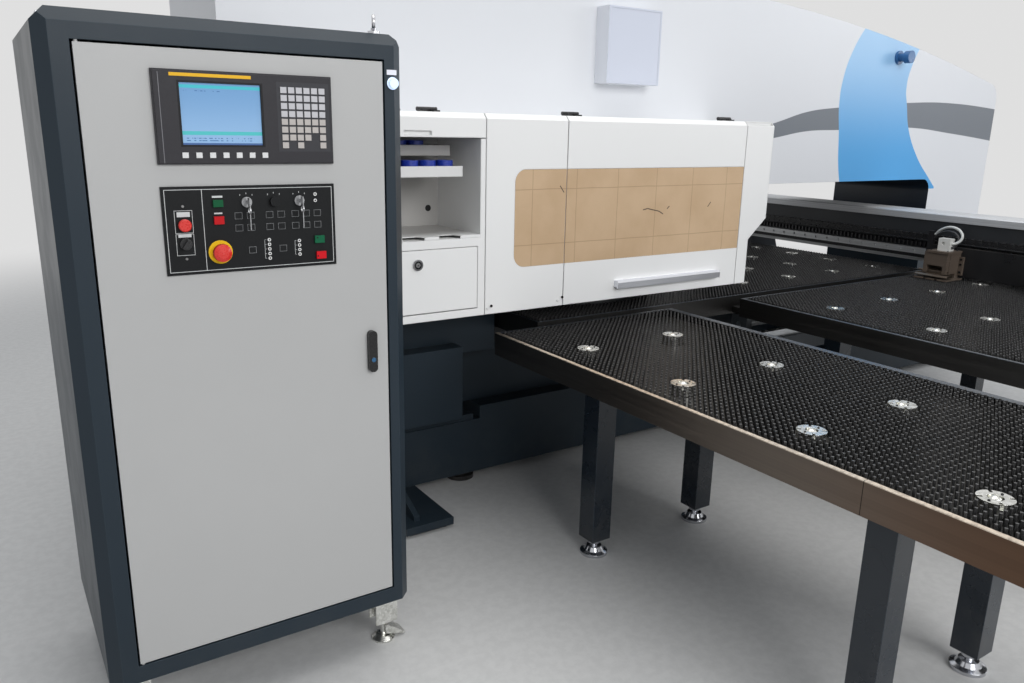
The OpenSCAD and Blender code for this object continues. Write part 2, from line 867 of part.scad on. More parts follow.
module centre_table() {
    color(brushed) difference() {
        union() {
            difference() {
                table_deck(centre_x0, nr[1], -centre_half, centre_half);
                turret_clearance(0);
            }
            difference() {
                rod_z(table_top - apron_h, table_top - 6, turret, 0, turret_r + turret_clear + apron_t);
                turret_clearance(0);
                block(-3000, centre_x0, -900, 900, 0, 2000);
            }
            // Posts that stand on the base
            for (x = [100, 780, 1420], y = [-150, 150])
                block(x - 40, x + 40, y - 40, y + 40, spine_top, deck_z - deck_t + eps);
            for (y = [-150, 150])
                block(centre_x0, centre_x0 + 50, y - 40, y + 40, spine_top, deck_z - deck_t + eps);
        }
        both_sides() unit_holes(centre_units(), stem_r + 0.3);
    }
}

module centre_brushes() {
    color(bristle) difference() {
        both_sides() brush_comb(centre_x0 + apron_t + 1, nr[1] - apron_t - 1, -centre_half + apron_t + 1, -4);
        turret_clearance(apron_t + 1);
        both_sides() unit_holes(centre_units(), ball_unit_r + unit_gap);
    }
}

ball_r = 15;

// Zinc cup with four notches, its steel ball and its stem
module ball_unit(x, y) {
    translate([x, y, 0]) {
        difference() {
            rod_z(deck_z, table_top - 2, 0, 0, ball_unit_r);
            for (a = [45:90:315]) rotate([0, 0, a]) block(ball_unit_r - 12, ball_unit_r + 1, -3.5, 3.5,
                table_top - 14, table_top);
            rod_z(table_top - 20, table_top, 0, 0, ball_r + 1.5);
        }
        rod_z(deck_z - deck_t, deck_z, 0, 0, stem_r);
        translate([0, 0, table_top - 13]) sphere(ball_r);
        rod_z(table_top - 30, table_top - 18, 0, 0, ball_r - 4);
    }
}

module ball_units() {
    color([0.74, 0.74, 0.72]) both_sides() {
        for (u = side_units()) ball_unit(u[0], u[1]);
        for (u = centre_units()) ball_unit(u[0], u[1]);
    }
}

leg_xs = [-1095, -580, 230, 1440];
leg_ys = [1090, 2188];
foot_h = 62;

module table_leg(x, y) {
    color(slate) block(x - leg_w / 2, x + leg_w / 2, y - leg_w / 2, y + leg_w / 2, foot_h, deck_z - deck_t);
    color([0.8, 0.8, 0.82]) {
        rod_z(30, foot_h, x, y, 12);
        rod_z(42, 52, x, y, 22);
        translate([x, y, 0]) rotate_extrude() polygon([
            [0, 0], [foot_r, 0], [foot_r, 10], [foot_r - 14, 16], [foot_r - 22, 30], [0, 30]
        ]);
    }
}

module table_legs() {
    both_sides() for (x = leg_xs, y = leg_ys) table_leg(x, -y);
}

// Cross beam

beam_back = beam_x + beam_d;
beam_top = beam_z + beam_h;
rail_z = beam_z + 40;
under_rail_x = beam_x + 98;
way_rail_h = 34;

module cross_beam() {
    color([0.33, 0.34, 0.36]) difference() {
        block(beam_x, beam_back, -beam_len / 2, beam_len / 2, beam_z, beam_top);
        // Weight-saving pockets in the rear face
        for (i = [-5:5]) block(beam_back - 60, beam_back + 1, i * 400 - 140, i * 400 + 140,
            beam_z + 60, beam_top - 60);
    }
    // Shelf of the energy chain
    color([0.33, 0.34, 0.36]) block(beam_x - 42, beam_x, -beam_len / 2 + 100, beam_len / 2 - 100,
        rail_z + 62, rail_z + 66);
}

module beam_cover() {
    color([0.78, 0.79, 0.80]) along_y(-beam_len / 2 - 3, beam_len / 2 + 3) polygon([
        [beam_x - 8, beam_top - 14], [beam_x, beam_top - 14], [beam_x, beam_top],
        [beam_back, beam_top], [beam_back, beam_top + 26], [beam_x - 2, beam_top + 26],
        [beam_x - 8, beam_top + 20]
    ]);
}

rail_inset = 60;

module guide_rails() {
    l = beam_len / 2 - rail_inset;
    n = floor((2 * l - 40) / rail_hole_pitch);
    color([0.72, 0.73, 0.75]) {
        difference() {
            along_y(-l, l) polygon([
                [beam_x, rail_z - rail_w / 2], [beam_x - rail_h * 0.45, rail_z - rail_w / 2],
                [beam_x - rail_h * 0.6, rail_z - rail_w / 2 + 4], [beam_x - rail_h * 0.8, rail_z - rail_w / 2],
                [beam_x - rail_h, rail_z - rail_w / 2], [beam_x - rail_h, rail_z + rail_w / 2],
                [beam_x - rail_h * 0.8, rail_z + rail_w / 2], [beam_x - rail_h * 0.6, rail_z + rail_w / 2 - 4],
                [beam_x - rail_h * 0.45, rail_z + rail_w / 2], [beam_x, rail_z + rail_w / 2]
            ]);
            for (i = [0:n]) rod_x(beam_x - rail_h - 1, beam_x - rail_h + 10,
                (i - n / 2) * rail_hole_pitch, rail_z, 7);
        }
        block(under_rail_x - rail_w / 2, under_rail_x + rail_w / 2, -l, l, beam_z - rail_h, beam_z);
    }
}

tooth_h = 11;
rack_t = 25;
rack_body = 24;
rack_z = rail_z + rail_w / 2 + 8;
pitch_r = tooth_pitch * pinion_teeth / (2 * PI);
rack_line = beam_x - rack_body - tooth_h / 2;
pinion_x = rack_line - pitch_r;
pinion_y = -(carriage_end + 970);

// Straight rack with its teeth towards the tables
module gear_rack() {
    l = beam_len / 2 - rail_inset - 40;
    n = floor(2 * l / tooth_pitch);
    root = beam_x - rack_body;
    tip = root - tooth_h;
    y0 = pinion_y - floor((pinion_y + l) / tooth_pitch) * tooth_pitch;
    color([0.30, 0.30, 0.32]) translate([0, 0, rack_z]) linear_extrude(rack_t) polygon(concat(
        [[beam_x, y0 - tooth_pitch / 2 + (n - 0) * tooth_pitch], [beam_x, y0 - tooth_pitch / 2]],
        [for (i = [0:n - 1], k = [0:3])
            [k == 0 || k == 3 ? root : tip,
             y0 + i * tooth_pitch + tooth_pitch * [-0.19, -0.08, 0.08, 0.19][k]]]
    ));
}

module pinion() {
    n = pinion_teeth;
    ra = pitch_r + tooth_h / 2 - 1;
    rd = pitch_r - tooth_h / 2 - 2;
    step = 360 / n;
    color([0.42, 0.42, 0.45]) translate([pinion_x, pinion_y, 0]) {
        translate([0, 0, rack_z + 2]) linear_extrude(rack_t - 4) polygon(
            [for (i = [0:n - 1], k = [0:3])
                let (a = (i + 0.5) * step + step * [-0.21, -0.07, 0.07, 0.21][k],
                     r = k == 0 || k == 3 ? rd : ra) [r * cos(a), r * sin(a)]]
        );
        rod_z(rack_z + rack_t - 2, motor_z - 0.3, 0, 0, 9);
    }
}

link_pitch = 40;
link_h = 30;
chain_z = rail_z + 66;

// Laid chain: each link is a bevelled hump on a common lower run
module energy_chain() {
    n = floor((beam_len - 260) / link_pitch);
    y0 = -n * link_pitch / 2;
    color(dark) translate([beam_x - 38, 0, 0]) along_x(0, 34) polygon(concat(
        [[y0 + n * link_pitch, chain_z], [y0, chain_z]],
        [for (i = [0:n - 1], k = [0:3])
            [y0 + i * link_pitch + link_pitch * [0.03, 0.14, 0.86, 0.97][k],
             chain_z + (k == 0 || k == 3 ? link_h * 0.55 : link_h)]]
    ));
}

saddle_y = 645;
saddle_t = 40;
saddle_x0 = beam_x + 150;
saddle_x1 = saddle_x0 + 290;
way_top = way_z + way_w;
block_h = 60;
block_len = 90;
foot_z = way_top + block_h;
screw_y = 450;
screw_z = 560;
screw_end_r = 15;
screw_x0 = console_x[0] - 30;
screw_x1 = console_x[3] + 40;
travel = 1300;

// Side plates that carry the beam over the tables, with their runner blocks and the nut
module saddles() {
    color([0.33, 0.34, 0.36]) {
        both_sides() {
            upright(-saddle_y - saddle_t, -saddle_y) polygon([
                [saddle_x0, foot_z], [saddle_x1, foot_z], [saddle_x1, foot_z + 90],
                [beam_back + 90, beam_top - 40], [beam_back, beam_top - 40], [beam_back, beam_z],
                [saddle_x0, beam_z]
            ]);
            block(saddle_x0, saddle_x1, -saddle_y, -way_y + 45, foot_z, foot_z + 25);
            for (x = [saddle_x0 + 8, saddle_x1 - block_len - 8]) difference() {
                block(x, x + block_len, -way_y - 38, -way_y + 38, way_top + 8, foot_z);
                block(x - 1, x + block_len + 1, -way_y - rail_w / 2 - 0.4, -way_y + rail_w / 2 + 0.4,
                    way_top, way_top + way_rail_h + 0.4);
            }
        }
        // Ball nut and its bracket
        difference() {
            union() {
                rod_x(saddle_x0 + 100, saddle_x0 + 190, -screw_y, screw_z, screw_r + 18);
                block(saddle_x0 + 130, saddle_x0 + 160, -way_y + 45, -screw_y + 20, screw_z + 10, foot_z + 25);
            }
            rod_x(saddle_x0 + 99, saddle_x0 + 191, -screw_y, screw_z, screw_r + running);
        }
    }
}

module way_rails() {
    x0 = console_x[0] - console_w / 2;
    x1 = console_x[3] + console_w / 2;
    both_sides() {
        color(slate) block(x0, x1, -way_y - way_w / 2, -way_y + way_w / 2, way_z, way_top);
        color([0.72, 0.73, 0.75]) block(x0 + 5, x1 - 5, -way_y - rail_w / 2, -way_y + rail_w / 2,
            way_top, way_top + way_rail_h);
    }
}

module ball_screw() {
    color([0.66, 0.67, 0.69]) {
        rod_x(screw_x0 + 50, screw_x1 - 50, -screw_y, screw_z, screw_r);
        rod_x(screw_x0, screw_x1 + 30, -screw_y, screw_z, screw_end_r);
    }
}

module beam_drive() {
    color([0.28, 0.29, 0.31]) {
        for (x = [screw_x0, screw_x1 - 40]) difference() {
            block(x, x + 40, -screw_y - 50, -screw_y + 50, way_z, screw_z + 50);
            rod_x(x - 1, x + 41, -screw_y, screw_z, screw_end_r + running);
        }
        difference() {
            block(screw_x1, screw_x1 + 160, -screw_y - 55, -screw_y + 55, screw_z - 55, screw_z + 55);
            rod_x(screw_x1 - 1, screw_x1 + 31, -screw_y, screw_z, screw_end_r + running);
        }
    }
}

// Clamp carriage

plate_t = 30;
plate_x = beam_x - rail_h - 40;
carriage_y1 = -carriage_end;
carriage_y0 = carriage_y1 - carriage_len;
carriage_z0 = table_top + 16;
carriage_z1 = rack_z + rack_t - 1;
notch = pitch_r + tooth_h;
motor_z = chain_z + link_h + 14;
clamp_y1 = carriage_y1 - 43;

module runner(y) {
    difference() {
        block(plate_x + plate_t, beam_x - 3, y, y + 90, rail_z - 33, rail_z + rail_w / 2 + 6);
        block(beam_x - rail_h - 0.4, beam_x, y - 1, y + 91, rail_z - rail_w / 2 - 0.4,
            rail_z + rail_w / 2 + 0.4);
    }
    difference() {
        block(under_rail_x - 38, under_rail_x + 38, y, y + 90, carriage_z0 + 16, beam_z - 4);
        block(under_rail_x - rail_w / 2 - 0.4, under_rail_x + rail_w / 2 + 0.4, y - 1, y + 91,
            beam_z - rail_h - 0.4, beam_z);
    }
}

module carriage() {
    color([0.20, 0.20, 0.21]) {
        difference() {
            block(plate_x, plate_x + plate_t, carriage_y0, carriage_y1, carriage_z0, carriage_z1);
            block(plate_x - 1, plate_x + plate_t + 1, pinion_y - notch, pinion_y + notch,
                rack_z - 3, carriage_z1 + 1);
        }
        block(plate_x + plate_t, under_rail_x + 38, carriage_y0, carriage_y1, carriage_z0, carriage_z0 + 16);
        for (y = [carriage_y0 + 20, carriage_y1 - 110]) runner(y);
        // Air manifold beside each clamp
        each_clamp() block(plate_x, plate_x + 22, 98, 128, carriage_z1 - 20, body_z1 + 86);
    }
}

motor_w = 78;
motor_len = 96;

module carriage_motor() {
    color([0.15, 0.15, 0.16]) {
        block(pinion_x - motor_w / 2, pinion_x + motor_w / 2, pinion_y - motor_w / 2,
            pinion_y + motor_w / 2, motor_z + 10 - eps, motor_z + motor_len);
        difference() {
            block(plate_x - 12, pinion_x + motor_w / 2, pinion_y - notch - 14, pinion_y + notch + 14,
                motor_z, motor_z + 10);
            rod_z(motor_z - 1, motor_z + 9, pinion_x, pinion_y, 9 + running);
        }
        for (s = [-1, 1]) translate([0, pinion_y + s * (notch + 8), 0])
            block(plate_x - 12, plate_x, -6, 6, rail_z - 60, motor_z + eps);
    }
}

jaw_t = 8;
jaw_z = table_top + 3;
jaw_gap = 9;
jaw_x = plate_x - 155;
body_x0 = plate_x - 125;
body_z0 = jaw_z + jaw_t + jaw_gap + 15;
body_z1 = 925;
pivot_x = body_x0 + 20;
pivot_z = body_z0 + 8;
pivot_r = 6;
slot_half = clamp_body_w / 2 - 20;
slot_back = plate_x - 36;
slot_top = body_z0 + 40;
fit_z = 64;

function clamp_y(i) = clamp_y1 - clamp_w / 2 - i * clamp_pitch;

module each_clamp() {
    for (i = [0:clamps - 1]) translate([0, clamp_y(i), 0]) children();
}

// Body with its lower jaw, the ridge along its corner, and the air fitting on top
module clamp_body() {
    h = clamp_body_w / 2;
    w = clamp_w / 2;
    color(bronze) {
        difference() {
            union() {
                block(body_x0, plate_x, -h, h, body_z0, body_z1 - 8);
                block(body_x0 - 5, plate_x, -h - 5, h - 12, body_z1 - 12, body_z1);
                block(body_x0 + 24, body_x0 + 40, -h - 4, -h + eps, body_z0, body_z1 - 8);
                block(plate_x - 12, plate_x, -h - 24, h + 24, carriage_z0 + 10, body_z1 - 30);
            }
            block(body_x0 - 1, slot_back, -slot_half, slot_half, body_z0 - 1, slot_top);
        }
        difference() {
            block(jaw_x, plate_x, -w, w, jaw_z, jaw_z + jaw_t);
            for (y = [-30, 30]) block(jaw_x - 1, jaw_x + 26, y - 8, y + 8, jaw_z - 1, jaw_z + jaw_t + 1);
        }
        block(slot_back + 4, plate_x, -h, h, jaw_z + jaw_t - eps, body_z0 + eps);
    }
    color([0.85, 0.85, 0.83]) difference() {
        block(body_x0 + 30, body_x0 + 74, -46, 16, body_z1, body_z1 + fit_z);
        rod_x(body_x0 + 20, body_x0 + 40, -12, body_z1 + 38, 9);
    }
}

module clamp_bodies() {
    each_clamp() difference() {
        clamp_body();
        rod_y(-clamp_w, clamp_w, pivot_x, pivot_z, pivot_r);
    }
}

// Upper jaws with their pivot pins
module clamp_jaws() {
    w = clamp_w / 2;
    b = jaw_z + jaw_t + jaw_gap;
    s = slot_half - 0.4;
    color([0.5, 0.46, 0.42]) each_clamp() {
        upright(-w, w) polygon([
            [jaw_x, b], [pivot_x + 6, b], [pivot_x + 6, b + 11], [jaw_x + 12, b + 11], [jaw_x, b + 4]
        ]);
        upright(-s, s) polygon([
            [pivot_x - 14, b + 5], [slot_back - 24, b + 5], [slot_back - 24, b + 26],
            [pivot_x - 8, b + 31], [pivot_x - 14, b + 26]
        ]);
        rod_y(-slot_half - 12, w + 6, pivot_x, pivot_z, pivot_r - running);
    }
}

// Hose loop from the carriage's manifold over to the fitting, through hand-chosen points
hose_r = 7;
hose_sides = 10;
hose_out = [[10, 98, 70], [10, 90, 70], [5, 82, 80], [-2, 66, 94], [-12, 38, 108], [-22, 8, 117], [-32, -24, 118],
    [-42, -54, 110], [-50, -76, 94], [-56, -84, 76], [-62, -80, 58], [-68, -68, 46], [-74, -56, 40],
    [-74, -46, 40]];
hose_in = [[10, 98, 52], [10, 91, 52], [5, 84, 60], [-2, 72, 72], [-12, 46, 86], [-24, 14, 95], [-34, -16, 95],
    [-42, -42, 88], [-50, -62, 72], [-56, -68, 54], [-60, -64, 36], [-66, -54, 24], [-74, -53, 17],
    [-74, -46, 17]];

function unit(v) = v / norm(v);
function tangent(p, i) = unit(p[min(i + 1, len(p) - 1)] - p[max(i - 1, 0)]);
function ring(p, i, r, n) =
    let (t = tangent(p, i), u = unit(cross(t, [0.9, 0.1, 0.3])), v = cross(t, u))
    [for (k = [0:n - 1]) p[i] + r * (u * cos(360 * k / n) + v * sin(360 * k / n))];

module tube(p, r, n) {
    m = len(p);
    polyhedron(
        points = [for (i = [0:m - 1]) each ring(p, i, r, n)],
        faces = concat(
            [[for (k = [n - 1:-1:0]) k]],
            [for (i = [0:m - 2], k = [0:n - 1])
                [i * n + k, i * n + (k + 1) % n, (i + 1) * n + (k + 1) % n, (i + 1) * n + k]],
            [[for (k = [0:n - 1]) (m - 1) * n + k]]
        )
    );
}

module clamp_hoses() {
    color([0.72, 0.73, 0.72]) each_clamp() translate([plate_x, 0, body_z1]) {
        tube(hose_out, hose_r, hose_sides);
        tube(hose_in, hose_r - 1.5, hose_sides);
    }
}

// Control cabinet

cab_x0 = -cab_left;
cab_x1 = cab_x0 + cab_w;
cab_y0 = -cab_front;
cab_y1 = cab_y0 + cab_d;
cab_top = cab_z + cab_h;
cab_wall = 20;
cab_side = 3;
door_gap = 5;
door_x0 = cab_x0 + 70;
door_x1 = door_x0 + door_w;
door_z0 = cab_z + 50;
door_z1 = door_z0 + door_h;
door_t = 18;
door_face = cab_y0 + 1;
door_pin_x = door_x0 + 7;
door_pin_y = door_face + 6;
door_pin_r = 4;

// Section of the cabinet, with both edges of the roof chamfered
module roof_section(a0, a1, c) {
    polygon([
        [a0, cab_z], [a1, cab_z], [a1, cab_top - c], [a1 - c, cab_top], [a0 + c, cab_top],
        [a0, cab_top - c]
    ]);
}

module cabinet_shell() {
    c = cab_chamfer;
    color(slate) difference() {
        intersection() {
            translate([0, 0, cab_z]) linear_extrude(cab_h) polygon([
                [cab_x0, cab_y0 + c], [cab_x0 + c, cab_y0], [cab_x1 - c, cab_y0], [cab_x1, cab_y0 + c],
                [cab_x1, cab_y1], [cab_x0, cab_y1]
            ]);
            along_x(cab_x0 - 1, cab_x1 + 1) roof_section(cab_y0, cab_y1, c);
            along_y(cab_y0 - 1, cab_y1 + 1) roof_section(cab_x0, cab_x1, c);
        }
        block(cab_x0 + cab_side, cab_x1 - cab_side, cab_y0 + 2 * c, cab_y1 - cab_side,
            cab_z + cab_side, cab_top - c - cab_side);
        block(door_x0 - door_gap, door_x1 + door_gap, cab_y0 - 1, cab_y0 + 2 * c + 1,
            door_z0 - door_gap, door_z1 + door_gap);
        for (z = [door_z0 - door_gap - 10, door_z1 + door_gap - 1])
            rod_z(z, z + 11, door_pin_x, door_pin_y, door_pin_r + running);
        // Rear vent slots
        for (i = [0:9]) block(cab_x1 - 260, cab_x1 - 80, cab_y1 - cab_side - 1, cab_y1 + 1,
            cab_z + 120 + i * 18, cab_z + 128 + i * 18);
    }
}

// Mounting plate with drives, contactors and wiring ducts
module control_gear() {
    px0 = cab_x0 + 60;
    px1 = cab_x1 - 60;
    py = cab_y1 - cab_side - 20;
    // The rows keep their share of the plate's height
    k = (cab_h - 130) / 1430;
    z0 = cab_z + 60;
    color([0.75, 0.75, 0.72]) block(px0, px1, py, py + 20, z0, cab_top - 70);
    color([0.25, 0.26, 0.28]) for (i = [0:3])
        block(px0 + 30 + i * 150, px0 + 150 + i * 150, py - 180, py, z0 + 940 * k, z0 + 1300 * k);
    color([0.32, 0.34, 0.36]) for (i = [0:5])
        block(px0 + 30 + i * 100, px0 + 100 + i * 100, py - 90, py, z0 + 560 * k, z0 + 670 * k);
    color([0.6, 0.6, 0.6]) for (z = [460, 740, 1380])
        block(px0 + 20, px1 - 20, py - 50, py, z0 + z * k, z0 + z * k + 40);
    color([0.3, 0.3, 0.32]) block(px0 + 60, px0 + 320, py - 200, py, z0 + 60 * k, z0 + 320 * k);
}

foot_in_x = 60;
foot_in_y = 70;

module cabinet_foot() {
    color([0.66, 0.67, 0.66]) {
        difference() {
            block(-34, 34, -28, 28, 64, cab_z);
            block(-35, 30, -22, 22, 60, cab_z - 8);
        }
        rod_z(12, cab_z - 7, 0, 0, 9);
        rod_z(56, 72, 0, 0, 15);
        rotate_extrude() polygon([[0, 0], [34, 0], [34, 5], [22, 14], [0, 14]]);
        translate([4, 0, 0]) along_y(-22, 22) polygon([[-6, 24], [58, 4], [58, 10], [2, 52], [-6, 52]]);
    }
}

module cabinet_feet() {
    for (x = [cab_x0 + foot_in_x, cab_x1 - foot_in_x], y = [cab_y0 + foot_in_y, cab_y1 - foot_in_y])
        translate([x, y, 0]) cabinet_foot();
}

eye_in_x = 60;
eye_in_y = 45;
eye_r = 16;

module lifting_eyes() {
    color([0.6, 0.6, 0.6])
        for (p = [[cab_x1 - eye_in_x, cab_y0 + eye_in_y], [cab_x0 + eye_in_x, cab_y1 - eye_in_y]])
            translate([p[0], p[1], cab_top]) {
                cylinder(r = 15, h = 6);
                cylinder(r = 7, h = 14);
                translate([0, 0, 10 + eye_r]) rotate([0, 90, -24]) rotate_extrude($fn = 32)
                    translate([eye_r, 0]) circle(4.5, $fn = 16);
            }
}

lamp_x = cab_x1 - 30;
lamp_z = 1601;

module pilot_lamp() {
    color([0.85, 0.92, 1.0]) {
        rod_y(cab_y0 - 4, cab_y0, lamp_x - 4, lamp_z, 15);
        rod_y(cab_y0 - 14, cab_y0 - 4, lamp_x - 4, lamp_z, 12);
    }
    color([0.9, 0.9, 0.9]) block(lamp_x - 18, lamp_x + 8, cab_y0 - 1.5, cab_y0, lamp_z + 20, lamp_z + 32);
}

panel_x0 = -2501;
panel_x1 = -2102;
display_z0 = 1408;
display_z1 = 1608;
panel_z0 = 1162;
panel_z1 = 1360;
handle_x = door_x1 - 47;
handle_z = 923;
pocket_d = 10;

module cabinet_door() {
    color([0.73, 0.73, 0.72]) difference() {
        union() {
            block(door_x0, door_x1, door_face, door_face + door_t, door_z0, door_z1);
        }
        // Hollow back, the display and operator openings, and the handle's slot
        block(door_x0 + 20, door_x1 - 20, door_face + 3, door_face + door_t + 1, door_z0 + 20, door_z1 - 20);
        block(panel_x0 + 12, panel_x1 - 12, door_face - 1, door_face + 4, display_z0 + 12, display_z1 - 12);
        block(panel_x0 + 12, panel_x1 - 12, door_face - 1, door_face + 4, panel_z0 + 12, panel_z1 - 12);
        rod_y(door_face - 1, door_face + 4, handle_x, handle_z + 25, 8.05);
    }
    // Hinge pins above and below the left edge
    color(steel) for (z = [door_z0 - door_gap - 8, door_z1 - 10])
        rod_z(z, z + 18 + door_gap, door_pin_x, door_pin_y, door_pin_r);
}

handle_half = 56;
handle_w = 24;

// Pull handle that turns the lock rod
module swing_handle() {
    color(dark) {
        upright(door_face - 14, door_face - 0.3) round_rect(handle_x - handle_w / 2, handle_z - handle_half,
            handle_x + handle_w / 2, handle_z + handle_half, handle_w / 2 - 1);
        rod_y(door_face - 0.3, door_face + 24, handle_x, handle_z + 25, 8);
    }
    color([0.2, 0.5, 0.75]) rod_y(door_face - 16, door_face - 14, handle_x, handle_z - 22, 6);
}

bezel_proud = 11;
screen_x0 = -2446;
screen_x1 = -2271;
screen_z0 = 1450;
screen_z1 = 1582;
key_rows = 8;
key_cols = 6;
key_w = 14.5;
key_step_x = 18.2;
key_step_z = 17.6;
key_x0 = -2226;
key_z0 = 1444;
soft_keys = 7;
soft_step = 29.2;

module display_unit() {
    y = door_face - bezel_proud;
    color([0.29, 0.29, 0.31]) difference() {
        union() {
            block(panel_x0, panel_x1, y + 3, door_face, display_z0, display_z1);
            block(panel_x0 + 3, panel_x1 - 3, y, y + 3 + eps, display_z0 + 3, display_z1 - 3);
            block(panel_x0 + 14, panel_x1 - 14, door_face - eps, door_face + 60, display_z0 + 14, display_z1 - 14);
        }
        block(screen_x0, screen_x1, y - 1, y + 8, screen_z0, screen_z1);
    }
    color([0.86, 0.86, 0.84]) {
        for (i = [0:key_cols - 1], j = [0:key_rows - 1])
            if (j > 1 || i == 0 || i == 5 || (j == 1 ? i == 2 || i == 3 || i == 1 : i == 2))
                block(key_x0 + i * key_step_x, key_x0 + i * key_step_x + key_w, y - 2, y + eps,
                    key_z0 + j * key_step_z, key_z0 + j * key_step_z + key_w - 1);
        for (i = [0:soft_keys - 1]) block(screen_x0 - 4 + i * soft_step, screen_x0 + 9 + i * soft_step,
            y - 2, y + eps, display_z0 + 14, display_z0 + 26);
    }
    color([0.95, 0.75, 0.15]) block(panel_x0 + 36, panel_x0 + 210, y - 0.8, y + eps, display_z1 - 14, display_z1 - 7);
}

module display_screen() {
    y = door_face - bezel_proud;
    color([0.66, 0.80, 0.90]) block(screen_x0 + 0.3, screen_x1 - 0.3, y + 4, y + 8,
        screen_z0 + 0.3, screen_z1 - 0.3);
}

panel_t = 4;
panel_face = door_face - panel_t;
left_col = -2457;
stop_z = 1275;
mode_z = 1233;
estop_x = -2382;
estop_z = 1210;
key_z = 1322;
key_xs = [-2316, -2191];
selector_x = -2252;
stem = 8;
fit = 0.05;

function membrane_keys() = concat(
    [for (x = [-2336, -2308, -2264, -2236, -2202, -2175, -2147], z = [1291, 1263]) [x, z]],
    [[-2308, 1210], [-2235, 1210]]
);

// Black plate with the fixed keys, lamps and lit squares
module operator_panel() {
    color([0.06, 0.06, 0.07]) {
        difference() {
            block(panel_x0, panel_x1, panel_face, door_face, panel_z0, panel_z1);
            rod_y(panel_face - 1, door_face + 1, left_col, stop_z, stem + fit);
            rod_y(panel_face - 1, door_face + 1, left_col, mode_z, stem + fit);
            rod_y(panel_face - 1, door_face + 1, estop_x, estop_z, stem + fit);
            for (x = key_xs) rod_y(panel_face - 1, door_face + 1, x, key_z, stem + fit);
        }
        for (k = membrane_keys())
            block(k[0] - 9, k[0] + 9, panel_face - 1.2, panel_face, k[1] - 8, k[1] + 8);
        rod_y(panel_face - 12, panel_face, selector_x, key_z, 11);
    }
    color([0.1, 0.5, 0.3]) {
        block(-2392, -2370, panel_face - 7, panel_face, key_z - 9, key_z + 7);
        block(-2157, -2133, panel_face - 7, panel_face, 1218, 1236);
    }
    color([0.8, 0.1, 0.1]) {
        block(-2392, -2370, panel_face - 7, panel_face, 1274, 1292);
        block(-2154, -2130, panel_face - 7, panel_face, 1179, 1197);
    }
    color([0.9, 0.9, 0.9]) {
        for (i = [0:4]) rod_y(panel_face - 2, panel_face, -2268, 1232 - i * 11, 4);
        for (i = [0:3]) rod_y(panel_face - 2, panel_face, -2195, 1226 - i * 11, 4);
        for (i = [0, 1]) rod_y(panel_face - 2, panel_face, -2151, 1336 - i * 15, 4);
    }
    color([0.95, 0.8, 0.1]) difference() {
        rod_y(panel_face - 3, panel_face, estop_x, estop_z, 27);
        rod_y(panel_face - 4, panel_face + 1, estop_x, estop_z, stem + fit);
    }
}

press = 6;

module emergency_stop() {
    color([0.82, 0.12, 0.10]) translate([estop_x, panel_face - 3, estop_z]) rotate([90, 0, 0])
        rotate_extrude() polygon([
            [0, -22], [stem, -22], [stem, press + 1], [17, press + 2], [21, press + 8],
            [20, press + 16], [12, press + 20], [0, press + 21]
        ]);
}

module stop_button() {
    color([0.85, 0.15, 0.12]) translate([left_col, panel_face, stop_z]) rotate([90, 0, 0])
        rotate_extrude() polygon([
            [0, -20], [stem, -20], [stem, 5], [13, 5], [14, 7], [14, 13], [12, 15], [0, 15]
        ]);
}

module mode_selector() {
    color([0.08, 0.08, 0.09]) {
        rod_y(panel_face, panel_face + 20, left_col, mode_z, stem);
        rod_y(panel_face - 8, panel_face - 0.3, left_col, mode_z, 13);
        translate([left_col, 0, mode_z]) rotate([0, 35, 0])
            block(-4, 4, panel_face - 20, panel_face - 7, -12, 12);
        rod_y(panel_face - 0.4, panel_face + eps, left_col, mode_z, stem);
    }
}

module key_switch(x) {
    color([0.6, 0.6, 0.62]) {
        rod_y(panel_face - 5, panel_face - 0.3, x, key_z, 12);
        rod_y(panel_face - 0.4, panel_face + 20, x, key_z, stem);
        // Key blade and bow, with the spare key hanging from its ring
        block(x - 1, x + 1, panel_face - 16, panel_face - 5 + eps, key_z - 5, key_z + 5);
        upright(panel_face - 30, panel_face - 16 + eps) translate([x, key_z]) square([2.4, 22], center = true);
        difference() {
            rod_x(x - 1.5, x + 1.5, panel_face - 24, key_z - 18, 9);
            rod_x(x - 2, x + 2, panel_face - 24, key_z - 18, 7);
        }
        block(x - 1.2, x + 1.2, panel_face - 28, panel_face - 20, key_z - 62, key_z - 26);
    }
}

module key_switch_left() {
    key_switch(key_xs[0]);
}

module key_switch_right() {
    key_switch(key_xs[1]);
}

base_frame();
levelling_feet();
upper_frame();
lifting_pins();
light_box();
hood_shells();
hood_window();
hood_hinges();
tool_cabinet();
tool_trays();
tool_holders();
turret_drive();
ram_cylinder();
way_rails();
beam_drive();
centre_table();
centre_brushes();
side_tables();
side_brushes();
table_legs();
ball_units();
cabinet_shell();
control_gear();
cabinet_feet();
lifting_eyes();
pilot_lamp();
upper_turret();
punches();
lower_turret();
dies();
ram();
cross_beam();
beam_cover();
guide_rails();
gear_rack();
energy_chain();
saddles();
ball_screw();
carriage();
carriage_motor();
clamp_bodies();
clamp_hoses();
clamp_jaws();
pinion();
hood_door();
door_window();
door_handle();
tool_flap();
tool_door();
tool_lock();
cabinet_door();
swing_handle();
display_unit();
display_screen();
operator_panel();
emergency_stop();
stop_button();
mode_selector();
key_switch_left();
key_switch_right();
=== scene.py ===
# %% [markdown]
# # Dressing a turret punch press
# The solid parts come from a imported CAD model. This lesson loads them, makes a procedural finish for
# each one, and adds what is too fine for the solids: bristles, chain links, screws, hoses and print.
# Everything is in metres, X along the frame, Y across it, and Z up from the floor.

# %% Load the solid parts
import math

import bpy
from mathutils import Matrix, Vector


